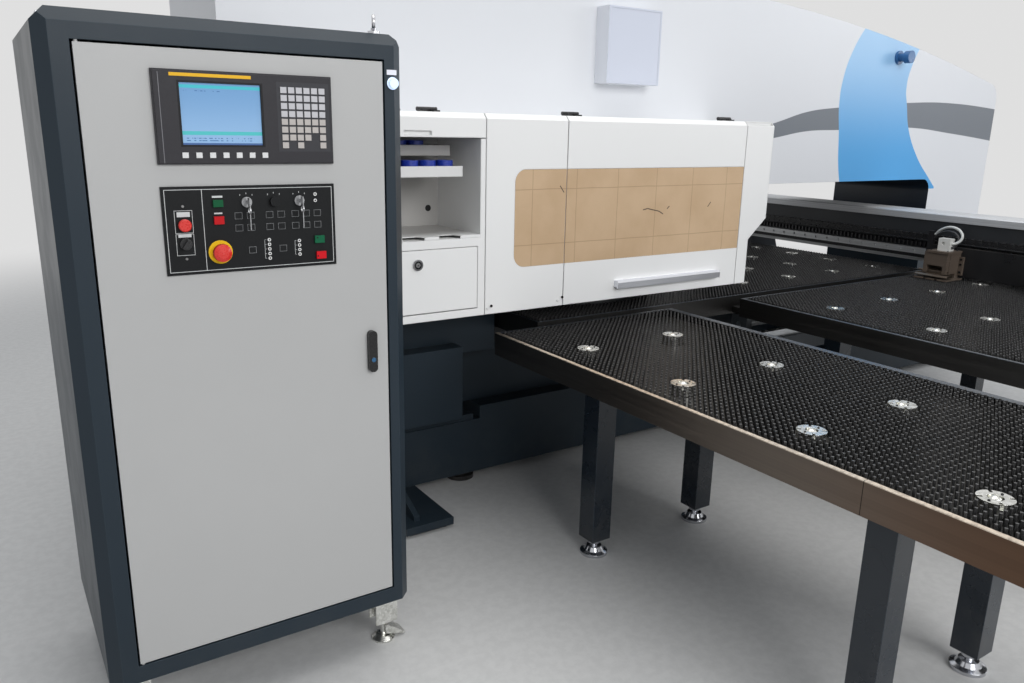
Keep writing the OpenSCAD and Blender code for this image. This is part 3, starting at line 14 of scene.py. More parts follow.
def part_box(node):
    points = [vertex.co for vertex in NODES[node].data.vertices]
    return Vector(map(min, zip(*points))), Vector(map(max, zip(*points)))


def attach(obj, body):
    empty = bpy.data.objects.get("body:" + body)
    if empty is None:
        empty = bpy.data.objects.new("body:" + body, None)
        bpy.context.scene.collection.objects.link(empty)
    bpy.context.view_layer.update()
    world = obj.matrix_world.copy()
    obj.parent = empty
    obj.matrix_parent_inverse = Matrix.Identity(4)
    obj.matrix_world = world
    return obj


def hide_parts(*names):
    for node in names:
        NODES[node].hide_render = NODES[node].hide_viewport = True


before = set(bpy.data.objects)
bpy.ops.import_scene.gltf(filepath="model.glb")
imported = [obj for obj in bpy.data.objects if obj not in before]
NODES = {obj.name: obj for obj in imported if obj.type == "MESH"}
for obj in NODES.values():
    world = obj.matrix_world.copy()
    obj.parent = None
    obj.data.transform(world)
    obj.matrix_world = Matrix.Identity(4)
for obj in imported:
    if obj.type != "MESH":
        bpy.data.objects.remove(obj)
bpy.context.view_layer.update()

# %% [markdown]
# ## The camera
# The photograph was taken from beside the control cabinet at eye height, with a short lens and the
# camera tipped a little down and to one side. The place and angles below were solved from the
# cabinet's edges and its 400 by 200 mm display, so a piece that is in the right place also falls on
# the right place in the picture.

# %% Set the camera
YAW, PITCH, ROLL = 0.586728741, 0.256644293, 0.0204953312
FOCAL_PIXELS, IMAGE_WIDTH, SENSOR_WIDTH = 813.235375, 1024, 36

forward = Vector((math.sin(YAW) * math.cos(PITCH), math.cos(YAW) * math.cos(PITCH), -math.sin(PITCH)))
level_right = Vector((math.cos(YAW), -math.sin(YAW), 0))
level_up = level_right.cross(forward)
right = math.cos(ROLL) * level_right + math.sin(ROLL) * level_up
up = -math.sin(ROLL) * level_right + math.cos(ROLL) * level_up
stand = Matrix((right, up, -forward)).transposed().to_4x4()
stand.translation = Vector((-2.851, -3.162, 1.500))

camera_data = bpy.data.cameras.new("photo_camera")
camera_data.sensor_width = SENSOR_WIDTH
camera_data.lens = FOCAL_PIXELS * SENSOR_WIDTH / IMAGE_WIDTH
camera_data.clip_start, camera_data.clip_end = 0.05, 100
camera = bpy.data.objects.new("photo_camera", camera_data)
bpy.context.collection.objects.link(camera)
camera.matrix_world = stand
bpy.context.scene.camera = camera
print("lens", round(camera_data.lens, 2), "mm")

# %% [markdown]
# ## Short words for node trees
# A node tree takes many lines when each node is made and linked by hand. Here an output of a node is
# kept as a wire. Adding, multiplying or comparing wires makes the Math nodes, so that a mask reads
# like ordinary arithmetic: 1 where it holds and 0 elsewhere.

# %% Wires and nodes
class Wire:
    """An output of a node. Sums, products and comparisons of wires add Math nodes to their tree."""

    def __init__(self, socket):
        self.socket, self.tree = socket, socket.id_data

    def math(self, operation, other=0.0):
        return add(self.tree, "ShaderNodeMath", self, other, operation=operation)

    def __add__(self, other):
        return self.math("ADD", other)

    def __sub__(self, other):
        return self.math("SUBTRACT", other)

    def __rsub__(self, other):
        return add(self.tree, "ShaderNodeMath", other, self, operation="SUBTRACT")

    def __mul__(self, other):
        return self.math("MULTIPLY", other)

    def __truediv__(self, other):
        return self.math("DIVIDE", other)

    def __mod__(self, other):
        return self.math("FLOORED_MODULO", other)

    def __abs__(self):
        return self.math("ABSOLUTE")

    def __lt__(self, other):
        return self.math("LESS_THAN", other)

    def __gt__(self, other):
        return self.math("GREATER_THAN", other)

    def __or__(self, other):
        return self.math("MAXIMUM", other)

    def clamped(self):
        """Keeps the last sum or product between 0 and 1."""
        self.socket.node.use_clamp = True
        return self

    def ramp(self, start, end, low=0.0, high=1.0, smooth=True):
        """Goes from low to high while the wire goes from start to end."""
        return add(self.tree, "ShaderNodeMapRange", self, start, end, low, high,
                   interpolation_type="SMOOTHSTEP" if smooth else "LINEAR")

    def mix(self, a, b, kind="Color"):
        """Colour a where the wire is 0 and b where it is 1; with kind Float, two numbers."""
        node = self.tree.nodes.new("ShaderNodeMix")
        node.data_type = "RGBA" if kind == "Color" else "FLOAT"
        inputs = {s.identifier: s for s in node.inputs}
        for key, value in (("Factor_Float", self), ("A_" + kind, a), ("B_" + kind, b)):
            feed(inputs[key], value)
        return Wire(next(s for s in node.outputs if s.identifier == "Result_" + kind))


def feed(socket, value):
    """Puts a wire, a number or a colour into a socket."""
    if value is None:
        return
    if isinstance(value, Wire):
        socket.id_data.links.new(value.socket, socket)
    elif hasattr(socket.default_value, "__len__") and not isinstance(value, str):
        value = tuple(value) if hasattr(value, "__len__") else (value,) * 3
        socket.default_value = (*value, 1.0)[:len(socket.default_value)] if len(value) == 3 else value
    else:
        socket.default_value = value


def add(tree, kind, *values, out=0, **named):
    """Adds a node to a tree, or to the tree of a material or world, and returns one of its outputs.
    Values go to the sockets in their order. A capitalised name is a socket's, any other a setting's."""
    owned = isinstance(tree, (bpy.types.Material, bpy.types.World))
    node = (tree.node_tree if owned else tree).nodes.new(kind)
    for key, value in named.items():
        if key[0].islower():
            setattr(node, key, value)
    for socket, value in zip(node.inputs, values):
        feed(socket, value)
    for key, value in named.items():
        if key[0].isupper():
            feed(node.inputs[key.replace("_", " ")], value)
    return Wire(node.outputs[out])


print("wires ready")

# %% Places, noise and colours
def axes(vector):
    return [Wire(s) for s in add(vector.tree, "ShaderNodeSeparateXYZ", vector).socket.node.outputs]


def point(tree, x=0.0, y=0.0, z=0.0):
    return add(tree, "ShaderNodeCombineXYZ", X=x, Y=y, Z=z)


def surface_point(tree):
    return add(tree, "ShaderNodeTexCoord", out="Object")


def surface_normal(tree):
    return add(tree, "ShaderNodeNewGeometry", out="Normal")


def place(tree):
    """X, Y and Z of the point that is being shaded."""
    return axes(surface_point(tree))


def reach(a, b):
    """How far a point is, when it is a off along one axis and b along the other."""
    return (a * a + b * b).math("SQRT")


def stretched(vector, scale):
    return add(vector.tree, "ShaderNodeMapping", Vector=vector, Scale=scale)


def noise(vector, scale, detail=3.0, roughness=0.5):
    return add(vector.tree, "ShaderNodeTexNoise", Vector=vector, Scale=scale, Detail=detail,
               Roughness=roughness)


def srgb(r, g, b):
    """A colour as it is read off a screen, 0 to 255, turned into the linear values Blender uses."""
    def one(c):
        c = c / 255
        return c / 12.92 if c <= 0.04045 else ((c + 0.055) / 1.055) ** 2.4
    return (one(r), one(g), one(b))


def new_tree(kind, name, inputs, outputs):
    """A node tree with named inputs (name, type, value) and outputs (name, type)."""
    tree = bpy.data.node_groups.new(name, kind)
    for label, socket, value in inputs:
        made = tree.interface.new_socket(name=label, in_out="INPUT", socket_type="NodeSocket" + socket)
        if value is not None:
            made.default_value = value
    for label, socket in outputs:
        tree.interface.new_socket(name=label, in_out="OUTPUT", socket_type="NodeSocket" + socket)
    given = {s.name: Wire(s) for s in tree.nodes.new("NodeGroupInput").outputs}
    return tree, given, tree.nodes.new("NodeGroupOutput").inputs


print("mid grey is", round(srgb(128, 128, 128)[0], 3), "in linear light")

# %% [markdown]
# ## Shared finishes
# Powder coat, edge wear, dust and brushed grain turn up on many parts. Each is a node group, built
# once with named inputs, so every material can use it with its own values. A group only puts out
# masks, heights and normals; the shader itself stays in the material.

# %% Powder coat and rounded edges
# Powder coat: a fine orange peel on a slow unevenness of the paint's tone
powder_coat, given, result = new_tree(
    "ShaderNodeTree", "Powder coat", [("Peel Scale", "Float", 420.0), ("Tone Scale", "Float", 1.4)],
    [("Height", "Float"), ("Tone", "Float"), ("Gloss", "Float")])
spot = surface_point(powder_coat)
feed(result["Height"], noise(spot, given["Peel Scale"], 2.0))
feed(result["Tone"], noise(spot, given["Tone Scale"], 4.0, 0.6).ramp(0.25, 0.75))
feed(result["Gloss"], noise(spot, 9.0, 5.0).ramp(0.3, 0.7))

# Edges: a rounded normal, and a mask of the edges with the coat rubbed thin in places
rounded_edges, given, result = new_tree(
    "ShaderNodeTree", "Rounded edges", [("Radius", "Float", 0.0015), ("Wear", "Float", 0.3)],
    [("Normal", "Vector"), ("Edge", "Float"), ("Worn", "Float")])
bevel = add(rounded_edges, "ShaderNodeBevel", samples=3, Radius=given["Radius"])
facing = add(rounded_edges, "ShaderNodeVectorMath", bevel, surface_normal(rounded_edges), out="Value",
             operation="DOT_PRODUCT")
edge = facing.ramp(0.99, 0.86)
patches = noise(surface_point(rounded_edges), 38.0, 5.0, 0.65).ramp(0.48, 0.66)
feed(result["Normal"], bevel)
feed(result["Edge"], edge)
feed(result["Worn"], (edge * patches * given["Wear"]).clamped())
print("groups", powder_coat.name, "and", rounded_edges.name)

# %% Dust, grain and boxes
# Dust: lies on what faces up, and rises from the floor
shop_dust, given, result = new_tree(
    "ShaderNodeTree", "Shop dust", [("Amount", "Float", 0.2), ("Floor Height", "Float", 0.35)],
    [("Mask", "Float")])
lying = axes(surface_normal(shop_dust))[2].ramp(0.6, 1.0)
rising = (1.0 - place(shop_dust)[2] / given["Floor Height"]).clamped()
cloud = noise(surface_point(shop_dust), 6.0, 6.0, 0.7).ramp(0.35, 0.75)
feed(result["Mask"], (((lying * 0.6) | rising) * cloud * given["Amount"]).clamped())

# Brushed grain: noise drawn out along one axis
brushed_grain, given, result = new_tree(
    "ShaderNodeTree", "Brushed grain", [("Stretch", "Vector", (3.0, 900.0, 900.0))],
    [("Height", "Float"), ("Streak", "Float")])
drawn = stretched(surface_point(brushed_grain), given["Stretch"])
feed(result["Height"], noise(drawn, 1.0, 2.0))
feed(result["Streak"], noise(stretched(drawn, (0.12, 0.12, 0.12)), 1.0, 4.0).ramp(0.3, 0.7))

# A box drawn round part of a solid, so that one part can carry two finishes
box_mask, given, result = new_tree(
    "ShaderNodeTree", "Box mask", [("Low", "Vector", (0.0, 0.0, 0.0)), ("High", "Vector", (1.0, 1.0, 1.0))],
    [("Mask", "Float")])
inside = None
for here, low, high in zip(place(box_mask), axes(given["Low"]), axes(given["High"])):
    one_axis = (here > low) * (here < high)
    inside = one_axis if inside is None else inside * one_axis
feed(result["Mask"], inside)
print("groups", sorted(g.name for g in bpy.data.node_groups))

# %% [markdown]
# ## Finishes as recipes
# A finish starts as a Principled shader with its fixed numbers on its own sockets. `painted` adds
# coat, rounded edges and dust, `metal` adds grain and `plastic` a fine texture. Where one solid part
# carries two finishes, `paint_over` lays the second colour over the first through a mask.

# %% Words for materials
def use(tree, group, **sockets):
    """Places a shared group in a material and returns its outputs by name."""
    node = add(tree, "ShaderNodeGroup", node_tree=group, **sockets).socket.node
    return {s.name: Wire(s) for s in node.outputs}


def in_box(tree, low, high):
    return use(tree, box_mask, Low=low, High=high)["Mask"]


def shader_input(material, name="Base Color"):
    return material.node_tree.nodes["Principled BSDF"].inputs[name]


def start(name, **fixed):
    material = bpy.data.materials.new(name)
    material.use_nodes = True
    for key, value in fixed.items():
        feed(shader_input(material, key.replace("_", " ")), value)
    return material


def current(material, name="Base Color"):
    """The wire that already feeds one of the shader's sockets."""
    return Wire(shader_input(material, name).links[0].from_socket)


def paint_over(material, mask, colour):
    feed(shader_input(material), mask.mix(current(material), colour))


def own_colour(material, colour):
    """A colour is given as it is, or as a function of the tree that draws it."""
    return colour(material) if callable(colour) else colour


def bump(material, height, depth, normal=None):
    rough_skin = add(material, "ShaderNodeBump", Height=height, Distance=depth, Normal=normal)
    feed(shader_input(material, "Normal"), rough_skin)


def dress(material, *names):
    """Gives solid parts their material."""
    for name in names:
        data = NODES[name].data
        data.materials.clear()
        data.materials.append(material)
    return material


print("parts to dress", len(NODES))

# %% Recipes for paint, metal and plastic
DUST, BLACK = srgb(150, 143, 132), (0.0, 0.0, 0.0)


def painted(name, colour, rough=0.35, tone=0.10, peel=0.00006, radius=0.0015, wear=0.15, dust=0.15,
            metal_under=srgb(120, 118, 114), coat=0.0, spread=0.06, edge_light=None, specular=0.5):
    """Powder coat over sheet metal."""
    m = start(name, Coat_Weight=coat, Coat_Roughness=0.08, Specular_IOR_Level=specular)
    powder = use(m, powder_coat)
    edges = use(m, rounded_edges, Radius=radius, Wear=wear)
    dusty = use(m, shop_dust, Amount=dust)["Mask"]
    base = (powder["Tone"] * tone).mix(own_colour(m, colour), BLACK)
    # Where an edge colour is given, the edges are painted lighter with it: a painted highlight.
    if edge_light:
        base = (edges["Edge"] * 0.6).mix(base, edge_light)
    base = edges["Worn"].mix(base, metal_under)
    feed(shader_input(m), dusty.mix(base, DUST))
    gloss = powder["Gloss"].mix(rough - spread, rough + spread, "Float")
    feed(shader_input(m, "Roughness"), dusty.mix(gloss, 0.85, "Float"))
    bump(m, powder["Height"], peel, edges["Normal"])
    return m


def metal(name, colour, rough=0.3, stretch=(3.0, 900.0, 900.0), depth=0.00002, radius=0.0008, dust=0.1,
          streak=0.25):
    """Bare or plated metal with a directed grain."""
    m = start(name, Metallic=1.0)
    grain = use(m, brushed_grain, Stretch=stretch)
    edges = use(m, rounded_edges, Radius=radius, Wear=0.0)
    dusty = use(m, shop_dust, Amount=dust)["Mask"]
    base = (grain["Streak"] * streak).mix(own_colour(m, colour), (0.02, 0.02, 0.02))
    feed(shader_input(m), dusty.mix(base, DUST))
    feed(shader_input(m, "Roughness"), grain["Streak"].mix(rough, rough + 0.12, "Float"))
    feed(shader_input(m, "Metallic"), 1.0 - dusty)
    bump(m, grain["Height"], depth, edges["Normal"])
    return m


def plastic(name, colour, rough=0.35, texture=260.0, depth=0.00005, radius=0.0008, dust=0.08, **fixed):
    """Moulded plastic with a fine spark-eroded texture."""
    m = start(name, **fixed)
    edges = use(m, rounded_edges, Radius=radius, Wear=0.0)
    dusty = use(m, shop_dust, Amount=dust)["Mask"]
    grain = noise(surface_point(m), texture, 3.0)
    # The edges are painted lighter: a painted highlight.
    base = (edges["Edge"] * 0.25).mix(own_colour(m, colour), srgb(170, 170, 170))
    feed(shader_input(m), dusty.mix(base, DUST))
    feed(shader_input(m, "Roughness"), grain.ramp(0.3, 0.7, rough - 0.06, rough + 0.08))
    bump(m, grain, depth, edges["Normal"])
    return m


print("recipes ready")

# %% [markdown]
# ## The frame's paint
# The white frame carries a sweeping blue stripe and a grey band. They are sprayed through masks, so
# their edges are smooth curves. A float curve gives each edge as X for a height, or as a height for
# X, and comparing the surface point with the curves gives the masks. The stripe pales towards the
# top. The walls of the throat are dark, as they are on the machine.

# %% Frame paint
STRIPE_LEFT = [(1.20, 1.205), (1.341, 1.160), (1.508, 1.133), (1.658, 1.107), (1.775, 1.113),
               (1.925, 1.167), (2.10, 1.300)]
STRIPE_RIGHT = [(1.20, 2.140), (1.248, 2.077), (1.375, 1.917), (1.541, 1.783), (1.675, 1.733),
                (1.758, 1.707), (1.875, 1.727), (2.10, 1.880)]
BAND_TOP = [(0.0, 1.34), (0.3, 1.475), (0.63, 1.558), (0.867, 1.615), (1.107, 1.641), (1.733, 1.685),
            (2.133, 1.698), (2.8, 1.672)]
BAND_LOW = [(0.0, 1.38), (0.3, 1.430), (0.63, 1.481), (0.867, 1.515), (1.133, 1.525), (1.783, 1.548),
            (2.233, 1.521), (2.8, 1.474)]
STRIPE_X, BAND_X, CURVE_Z = (1.0, 2.2), (0.0, 2.8), (1.2, 2.1)
BAND_START, STRIPE_BOTTOM, SOFT_EDGE = 0.05, 1.190, 0.0008
THROAT_LOW, THROAT_HIGH = (-1.075, -0.4, 0.60), (2.095, 0.4, 1.2605)


def edge_curve(value, value_range, points, out_range):
    """A smooth curve through points (value, result), read at value."""
    read = add(value.tree, "ShaderNodeFloatCurve", Value=value.ramp(*value_range, smooth=False))
    mapping = read.socket.node.mapping
    placed = [((v - value_range[0]) / (value_range[1] - value_range[0]),
               (r - out_range[0]) / (out_range[1] - out_range[0])) for v, r in points]
    curve = mapping.curves[0]
    curve.points[0].location, curve.points[1].location = placed[0], placed[-1]
    for p in placed[1:-1]:
        curve.points.new(*p)
    mapping.update()
    return read.ramp(0.0, 1.0, *out_range, smooth=False)


def between(value, a, b):
    return (value - a).ramp(-SOFT_EDGE, SOFT_EDGE) * (b - value).ramp(-SOFT_EDGE, SOFT_EDGE)


def frame_colour(tree):
    x, y, z = place(tree)
    side = abs(axes(surface_normal(tree))[1]) > 0.5
    left, end = [edge_curve(z, CURVE_Z, points, STRIPE_X) for points in (STRIPE_LEFT, STRIPE_RIGHT)]
    top, low = [edge_curve(x, BAND_X, points, CURVE_Z) for points in (BAND_TOP, BAND_LOW)]
    band = between(z, low, top) * side * (x > BAND_START)
    stripe = between(x, left, end) * side * (z > STRIPE_BOTTOM)
    blue = z.ramp(1.35, 2.05).mix(srgb(68, 160, 222), srgb(160, 202, 238))
    colour = stripe.mix(band.mix(srgb(221, 223, 227), srgb(106, 112, 120)), blue)
    wall = in_box(tree, THROAT_LOW, THROAT_HIGH) * (1.0 - side)
    return wall.mix(colour, srgb(24, 34, 46))


dress(painted("frame_paint", frame_colour, rough=0.36, tone=0.015, radius=0.003, wear=0.0, dust=0.0,
              spread=0.01), "upper_frame")
print("stripe drawn from", len(STRIPE_LEFT) + len(STRIPE_RIGHT), "points")

# %% [markdown]
# ## Slate, white and grey coats
# The base, the legs and the cabinet wear a dark slate coat with a fair gloss; the legs' copy is painted
# darker as painted shade, and their edges carry thin painted highlights. The hood is a warm white, and the
# cabinet's door a light grey with hardly any shine and painted highlights along its edges. The legs stand on
# bright plated feet, so one material holds both, split by height.

# %% Slate coats
SLATE, SLATE_WORN = srgb(38, 49, 58), srgb(92, 102, 110)
FOOT_TOP, RAIL_BOTTOM = 0.0622, 0.5201

# The slate's edges are painted lighter: painted highlights.
dress(painted("slate_paint", SLATE, rough=0.38, tone=0.12, radius=0.0025, wear=0.2, dust=0.06,
              metal_under=SLATE_WORN, spread=0.03, edge_light=srgb(70, 84, 94), specular=0.25),
      "base_frame", "cabinet_shell")

# The legs' slate is a darker copy of the base's slate, painted shade, with painted highlights on its edges.
leg_finish = dress(painted("leg_finish", srgb(22, 33, 44), rough=0.27, tone=0.12, radius=0.003, wear=0.3,
                           dust=0.2, metal_under=SLATE_WORN, coat=0.1, edge_light=srgb(84, 98, 110)),
                   "table_legs")
foot = place(leg_finish)[2] < FOOT_TOP
paint_over(leg_finish, foot, srgb(196, 198, 203))
feed(shader_input(leg_finish, "Roughness"), foot.mix(current(leg_finish, "Roughness"), 0.16, "Float"))
feed(shader_input(leg_finish, "Metallic"), foot)

way_finish = dress(painted("way_finish", SLATE, rough=0.3, tone=0.15, wear=0.2, dust=0.25), "way_rails")
rail_part = place(way_finish)[2] > RAIL_BOTTOM
paint_over(way_finish, rail_part, srgb(182, 184, 186))
feed(shader_input(way_finish, "Metallic"), rail_part)
print("plated feet up to", FOOT_TOP, "m, bright rails from", RAIL_BOTTOM, "m")

# %% Hood and door coats
NICHE_LOW, NICHE_HIGH = (-1.870, -0.727, 1.120), (-1.3775, -0.400, 1.4625)
NICHE_HOLE, HOLE_RADIUS, NICHE_BACK = (-1.4187, 1.2037), 0.012, -0.430
HINGE_LEAF_Z = 1.5474


def hood_colour(tree):
    """Warm white, painted greyer deeper in the tool niche as painted shade, with a dark disc of painted shade
    where its hole is, and black on the hinge leaves on top.
    """
    x, y, z = place(tree)
    niche = in_box(tree, NICHE_LOW, NICHE_HIGH)
    # Deeper in the niche the white is painted grey: painted shade.
    colour = (niche * y.ramp(-0.727, -0.600)).mix(srgb(241, 241, 240), srgb(180, 178, 175))
    # The hole is a dark disc of painted shade.
    hole = (y > NICHE_BACK) * (reach(x - NICHE_HOLE[0], z - NICHE_HOLE[1]) < HOLE_RADIUS)
    colour = (hole * niche).mix(colour, srgb(14, 14, 15))
    return (z > HINGE_LEAF_Z).mix(colour, srgb(26, 26, 28))


dress(painted("hood_paint", hood_colour, rough=0.32, tone=0.012, radius=0.005, wear=0.0, dust=0.0,
              spread=0.01),
      "hood_shells", "tool_cabinet", "tool_trays", "tool_flap", "tool_door", "hood_door")
# The door's edges are painted near white: a painted highlight.
dress(painted("door_paint", srgb(180, 180, 179), rough=0.42, tone=0.05, peel=0.00009, wear=0.0, dust=0.06,
              spread=0.02, edge_light=srgb(236, 238, 240)), "cabinet_door")
print("coats on", sum(1 for o in NODES.values() if o.data.materials and "paint" in o.data.materials[0].name),
      "parts")

# %% [markdown]
# ## The window under its brown film
# The acrylic still wears the kraft paper film it was delivered in. It is matt, a little mottled, and has
# faint creases where it was folded into squares, drawn as darker lines of painted shade. A few dark scrapes
# run across it. The film is otherwise plain.

# %% Kraft film
CREASE_PITCH, CREASE_OFFSETS = 0.2, (0.058, 0.012)
# Each scrape runs from one (x, z) to another
SCRAPES = [(-0.6221, 1.1956, -0.5974, 1.1995), (-0.5974, 1.1995, -0.5358, 1.1877),
           (-0.5358, 1.1877, -0.5127, 1.1755), (-0.2595, 1.1959, -0.2426, 1.2155),
           (-0.4930, 1.1958, -0.4807, 1.2067), (-1.0367, 1.2981, -1.0173, 1.2743)]


def kraft_colour(tree):
    spot = surface_point(tree)
    x, y, z = axes(spot)
    fibre = noise(stretched(spot, (160.0, 160.0, 700.0)), 1.0, 4.0, 0.7)
    colour = noise(spot, 5.0, 3.0).ramp(0.3, 0.7).mix(srgb(194, 164, 129), srgb(206, 177, 143))
    colour = (fibre.ramp(0.55, 0.8) * 0.35).mix(colour, srgb(160, 127, 92))
    wavy = (noise(spot, 7.0, 2.0) - 0.5) * 0.006
    to_crease = [abs((value + offset + wavy) % CREASE_PITCH - CREASE_PITCH / 2)
                 for value, offset in zip((x, z), CREASE_OFFSETS)]
    # The creases are drawn as darker lines: painted shade along the folds.
    crease_shade = to_crease[0].ramp(0.0024, 0.0006) | to_crease[1].ramp(0.0024, 0.0006)
    colour = (crease_shade * 0.45).mix(colour, srgb(138, 108, 76))
    for x0, z0, x1, z1 in SCRAPES:
        tilt = math.atan2(z1 - z0, x1 - x0)
        along = (x - x0) * math.cos(tilt) + (z - z0) * math.sin(tilt)
        across = abs((z - z0) * math.cos(tilt) - (x - x0) * math.sin(tilt) + wavy * 1.5)
        on = (along > 0.0) * (along < math.hypot(x1 - x0, z1 - z0))
        colour = (on * across.ramp(0.0026, 0.0014) * 0.9).mix(colour, srgb(44, 34, 28))
    return colour


kraft_film = start("kraft_film", Roughness=0.62, Coat_Weight=0.15, Coat_Roughness=0.3)
feed(shader_input(kraft_film), kraft_colour(kraft_film))
bump(kraft_film, noise(stretched(surface_point(kraft_film), (14.0, 14.0, 14.0)), 1.0, 5.0, 0.6), 0.0012)
dress(kraft_film, "hood_window", "door_window")
print("film with", len(SCRAPES), "scrapes")

# %% [markdown]
# ## Bare and plated metal
# Grain direction tells a viewer how a part was made. Rails are ground along their length, the aprons are
# rolled sheet with a brown cast whose shifts along the tables are painted reflection, the balls and feet are
# plated, and the beam's cover is extruded. Each gets the same recipe with another stretch of the grain.

# %% Rolled sheet on the tables
OUTER_SIDE_X, SHEET_TOP, SEAM_Y = -1.2725, 0.7645, 2.217


def apron_colour(tree):
    """Dark rolled sheet; on the outer side of the operator's table it is painted from grey to bronze, a
    painted reflection.
    """
    x, y, z = place(tree)
    # The shifts from grey to bronze are painted reflection.
    sheet = y.ramp(-1.9, -2.6).mix(srgb(128, 118, 109), srgb(102, 80, 65))
    return ((x < OUTER_SIDE_X) * y.ramp(-1.1, -1.8)).mix(srgb(74, 73, 72), sheet)


apron_metal = dress(metal("apron_metal", apron_colour, rough=0.34, stretch=(700.0, 2.5, 900.0), radius=0.0012,
                          dust=0.08, streak=0.12), "side_tables", "centre_table")
x, y, z = place(apron_metal)
# The cut edge along the top is painted pale, a painted highlight that is brightest on the outer side, and a
# dark seam crosses the sheet
painted_lip_highlight = (z > SHEET_TOP) * noise(surface_point(apron_metal), 60.0, 4.0).ramp(0.3, 0.6, 0.55, 1.0)
paint_over(apron_metal, painted_lip_highlight, (x < OUTER_SIDE_X).mix(srgb(104, 110, 118), srgb(240, 226, 208)))
paint_over(apron_metal, abs(abs(y) - SEAM_Y).ramp(0.0011, 0.0005), (0.01, 0.01, 0.01))
print("apron seam at", SEAM_Y, "m on either side")

# %% Steel, chrome and zinc
ALONG_Y, ANY_WAY = (900.0, 4.0, 900.0), (200.0, 200.0, 200.0)
CHROME = srgb(205, 206, 210)
LOCK_CENTRE, LOCK_RING, KEYWAY_RADIUS = (-1.621, 1.048), (0.0085, 0.0135), 0.0025
RACK_TIPS_X = 1.4862


def zinc_colour(tree):
    """Zinc plate with a faint spangle."""
    cells = add(tree, "ShaderNodeTexVoronoi", out="Color", Vector=surface_point(tree), Scale=130.0)
    return axes(cells)[0].mix(srgb(206, 206, 200), srgb(250, 250, 246))


dress(metal("ground_steel", srgb(202, 204, 206), rough=0.4, stretch=ALONG_Y, dust=0.08),
      "guide_rails", "ball_screw", "pinion")
dress(metal("turned_steel", srgb(168, 169, 171), rough=0.26, stretch=(60.0, 60.0, 900.0), dust=0.05),
      "upper_turret", "lower_turret", "punches", "dies", "key_switch_left", "key_switch_right")
dress(metal("chrome_plate", CHROME, rough=0.1, stretch=ANY_WAY, depth=0.000005, streak=0.08, dust=0.04),
      "ram", "lifting_eyes")
dress(metal("cover_metal", srgb(214, 216, 219), rough=0.55, stretch=(900.0, 3.0, 900.0), dust=0.2),
      "beam_cover")
dress(metal("handle_metal", srgb(228, 230, 236), rough=0.32, dust=0.0, streak=0.08), "door_handle")
dress(metal("zinc_plate", zinc_colour, rough=0.2, stretch=(160.0, 160.0, 160.0), depth=0.0009, dust=0.02,
            streak=0.1), "ball_units", "cabinet_feet")

lock_metal = dress(metal("lock_metal", CHROME, rough=0.12, stretch=ANY_WAY, dust=0.0), "tool_lock")
x, y, z = place(lock_metal)
from_axis = reach(x - LOCK_CENTRE[0], z - LOCK_CENTRE[1])
lock_ring = (from_axis > LOCK_RING[0]) * (from_axis < LOCK_RING[1])
# The ring is painted dark, and the keyway is a dark disc of painted shade in place of a slot.
paint_over(lock_metal, lock_ring | (from_axis < KEYWAY_RADIUS), srgb(36, 38, 42))

rack_metal = dress(metal("rack_metal", srgb(70, 70, 73), stretch=(900.0, 200.0, 900.0)), "gear_rack")
# The tooth tips are painted lighter: painted glints.
paint_over(rack_metal, place(rack_metal)[0] < RACK_TIPS_X, srgb(96, 96, 96))
print("metals", sum(1 for m in bpy.data.materials if m.name.endswith(("metal", "steel", "plate"))))

# %% [markdown]
# ## Castings, black parts and plastics
# Castings on the turret, the drives and the saddles are painted grey over a rough skin, so their
# bump is coarser. The carriage is black. The clamps wear a bronze-brown coat that is rubbed bright
# along the edges, with a pale plastic fitting on top: again one part with two finishes.

# %% Castings and painted parts
FITTING_Z = 0.9252

dress(painted("cast_grey", srgb(86, 90, 95), rough=0.42, tone=0.2, peel=0.0002, radius=0.003, wear=0.3,
              dust=0.2), "turret_drive", "ram_cylinder", "beam_drive", "saddles")
dress(painted("beam_paint", srgb(44, 46, 49), rough=0.36, tone=0.3, peel=0.0001, radius=0.003, wear=0.2,
              dust=0.2), "cross_beam")
dress(painted("black_metal", srgb(30, 30, 32), rough=0.33, tone=0.2, radius=0.001, wear=0.35,
              metal_under=srgb(84, 84, 86)), "levelling_feet", "hood_hinges", "carriage", "carriage_motor")
dress(painted("gear_metal", srgb(150, 150, 146), rough=0.4, tone=0.2, wear=0.1), "control_gear")
dress(painted("cap_blue", srgb(52, 104, 158), rough=0.3, tone=0.15, radius=0.002, wear=0.4, dust=0.2),
      "lifting_pins")

clamp_finish = dress(painted("clamp_finish", srgb(104, 92, 82), rough=0.38, tone=0.35, peel=0.00015, wear=0.9,
                             dust=0.12, metal_under=srgb(176, 160, 142)), "clamp_bodies")
paint_over(clamp_finish, place(clamp_finish)[2] > FITTING_Z, srgb(214, 214, 210))
dress(metal("jaw_finish", srgb(118, 106, 95), rough=0.34, stretch=(60.0, 900.0, 60.0), radius=0.001),
      "clamp_jaws")
print("clamp fittings from", FITTING_Z, "m up")

# %% Plastics
HANDLE_DOT_Y, FACES_OPERATOR = -1.2431, -0.7

dress(plastic("holder_plastic", srgb(34, 58, 160), rough=0.3), "tool_holders")
black_plastic = dress(plastic("black_plastic", srgb(24, 24, 26), rough=0.32), "mode_selector")
dress(plastic("red_plastic", srgb(214, 42, 34), rough=0.28, Coat_Weight=0.3, Coat_Roughness=0.1),
      "emergency_stop", "stop_button")

handle_plastic = dress(plastic("handle_plastic", srgb(12, 12, 14), rough=0.26), "swing_handle")
paint_over(handle_plastic, place(handle_plastic)[1] < HANDLE_DOT_Y, srgb(38, 92, 132))

opal = dress(plastic("opal", srgb(226, 229, 236), texture=90.0, depth=0.00002, radius=0.003), "light_box")
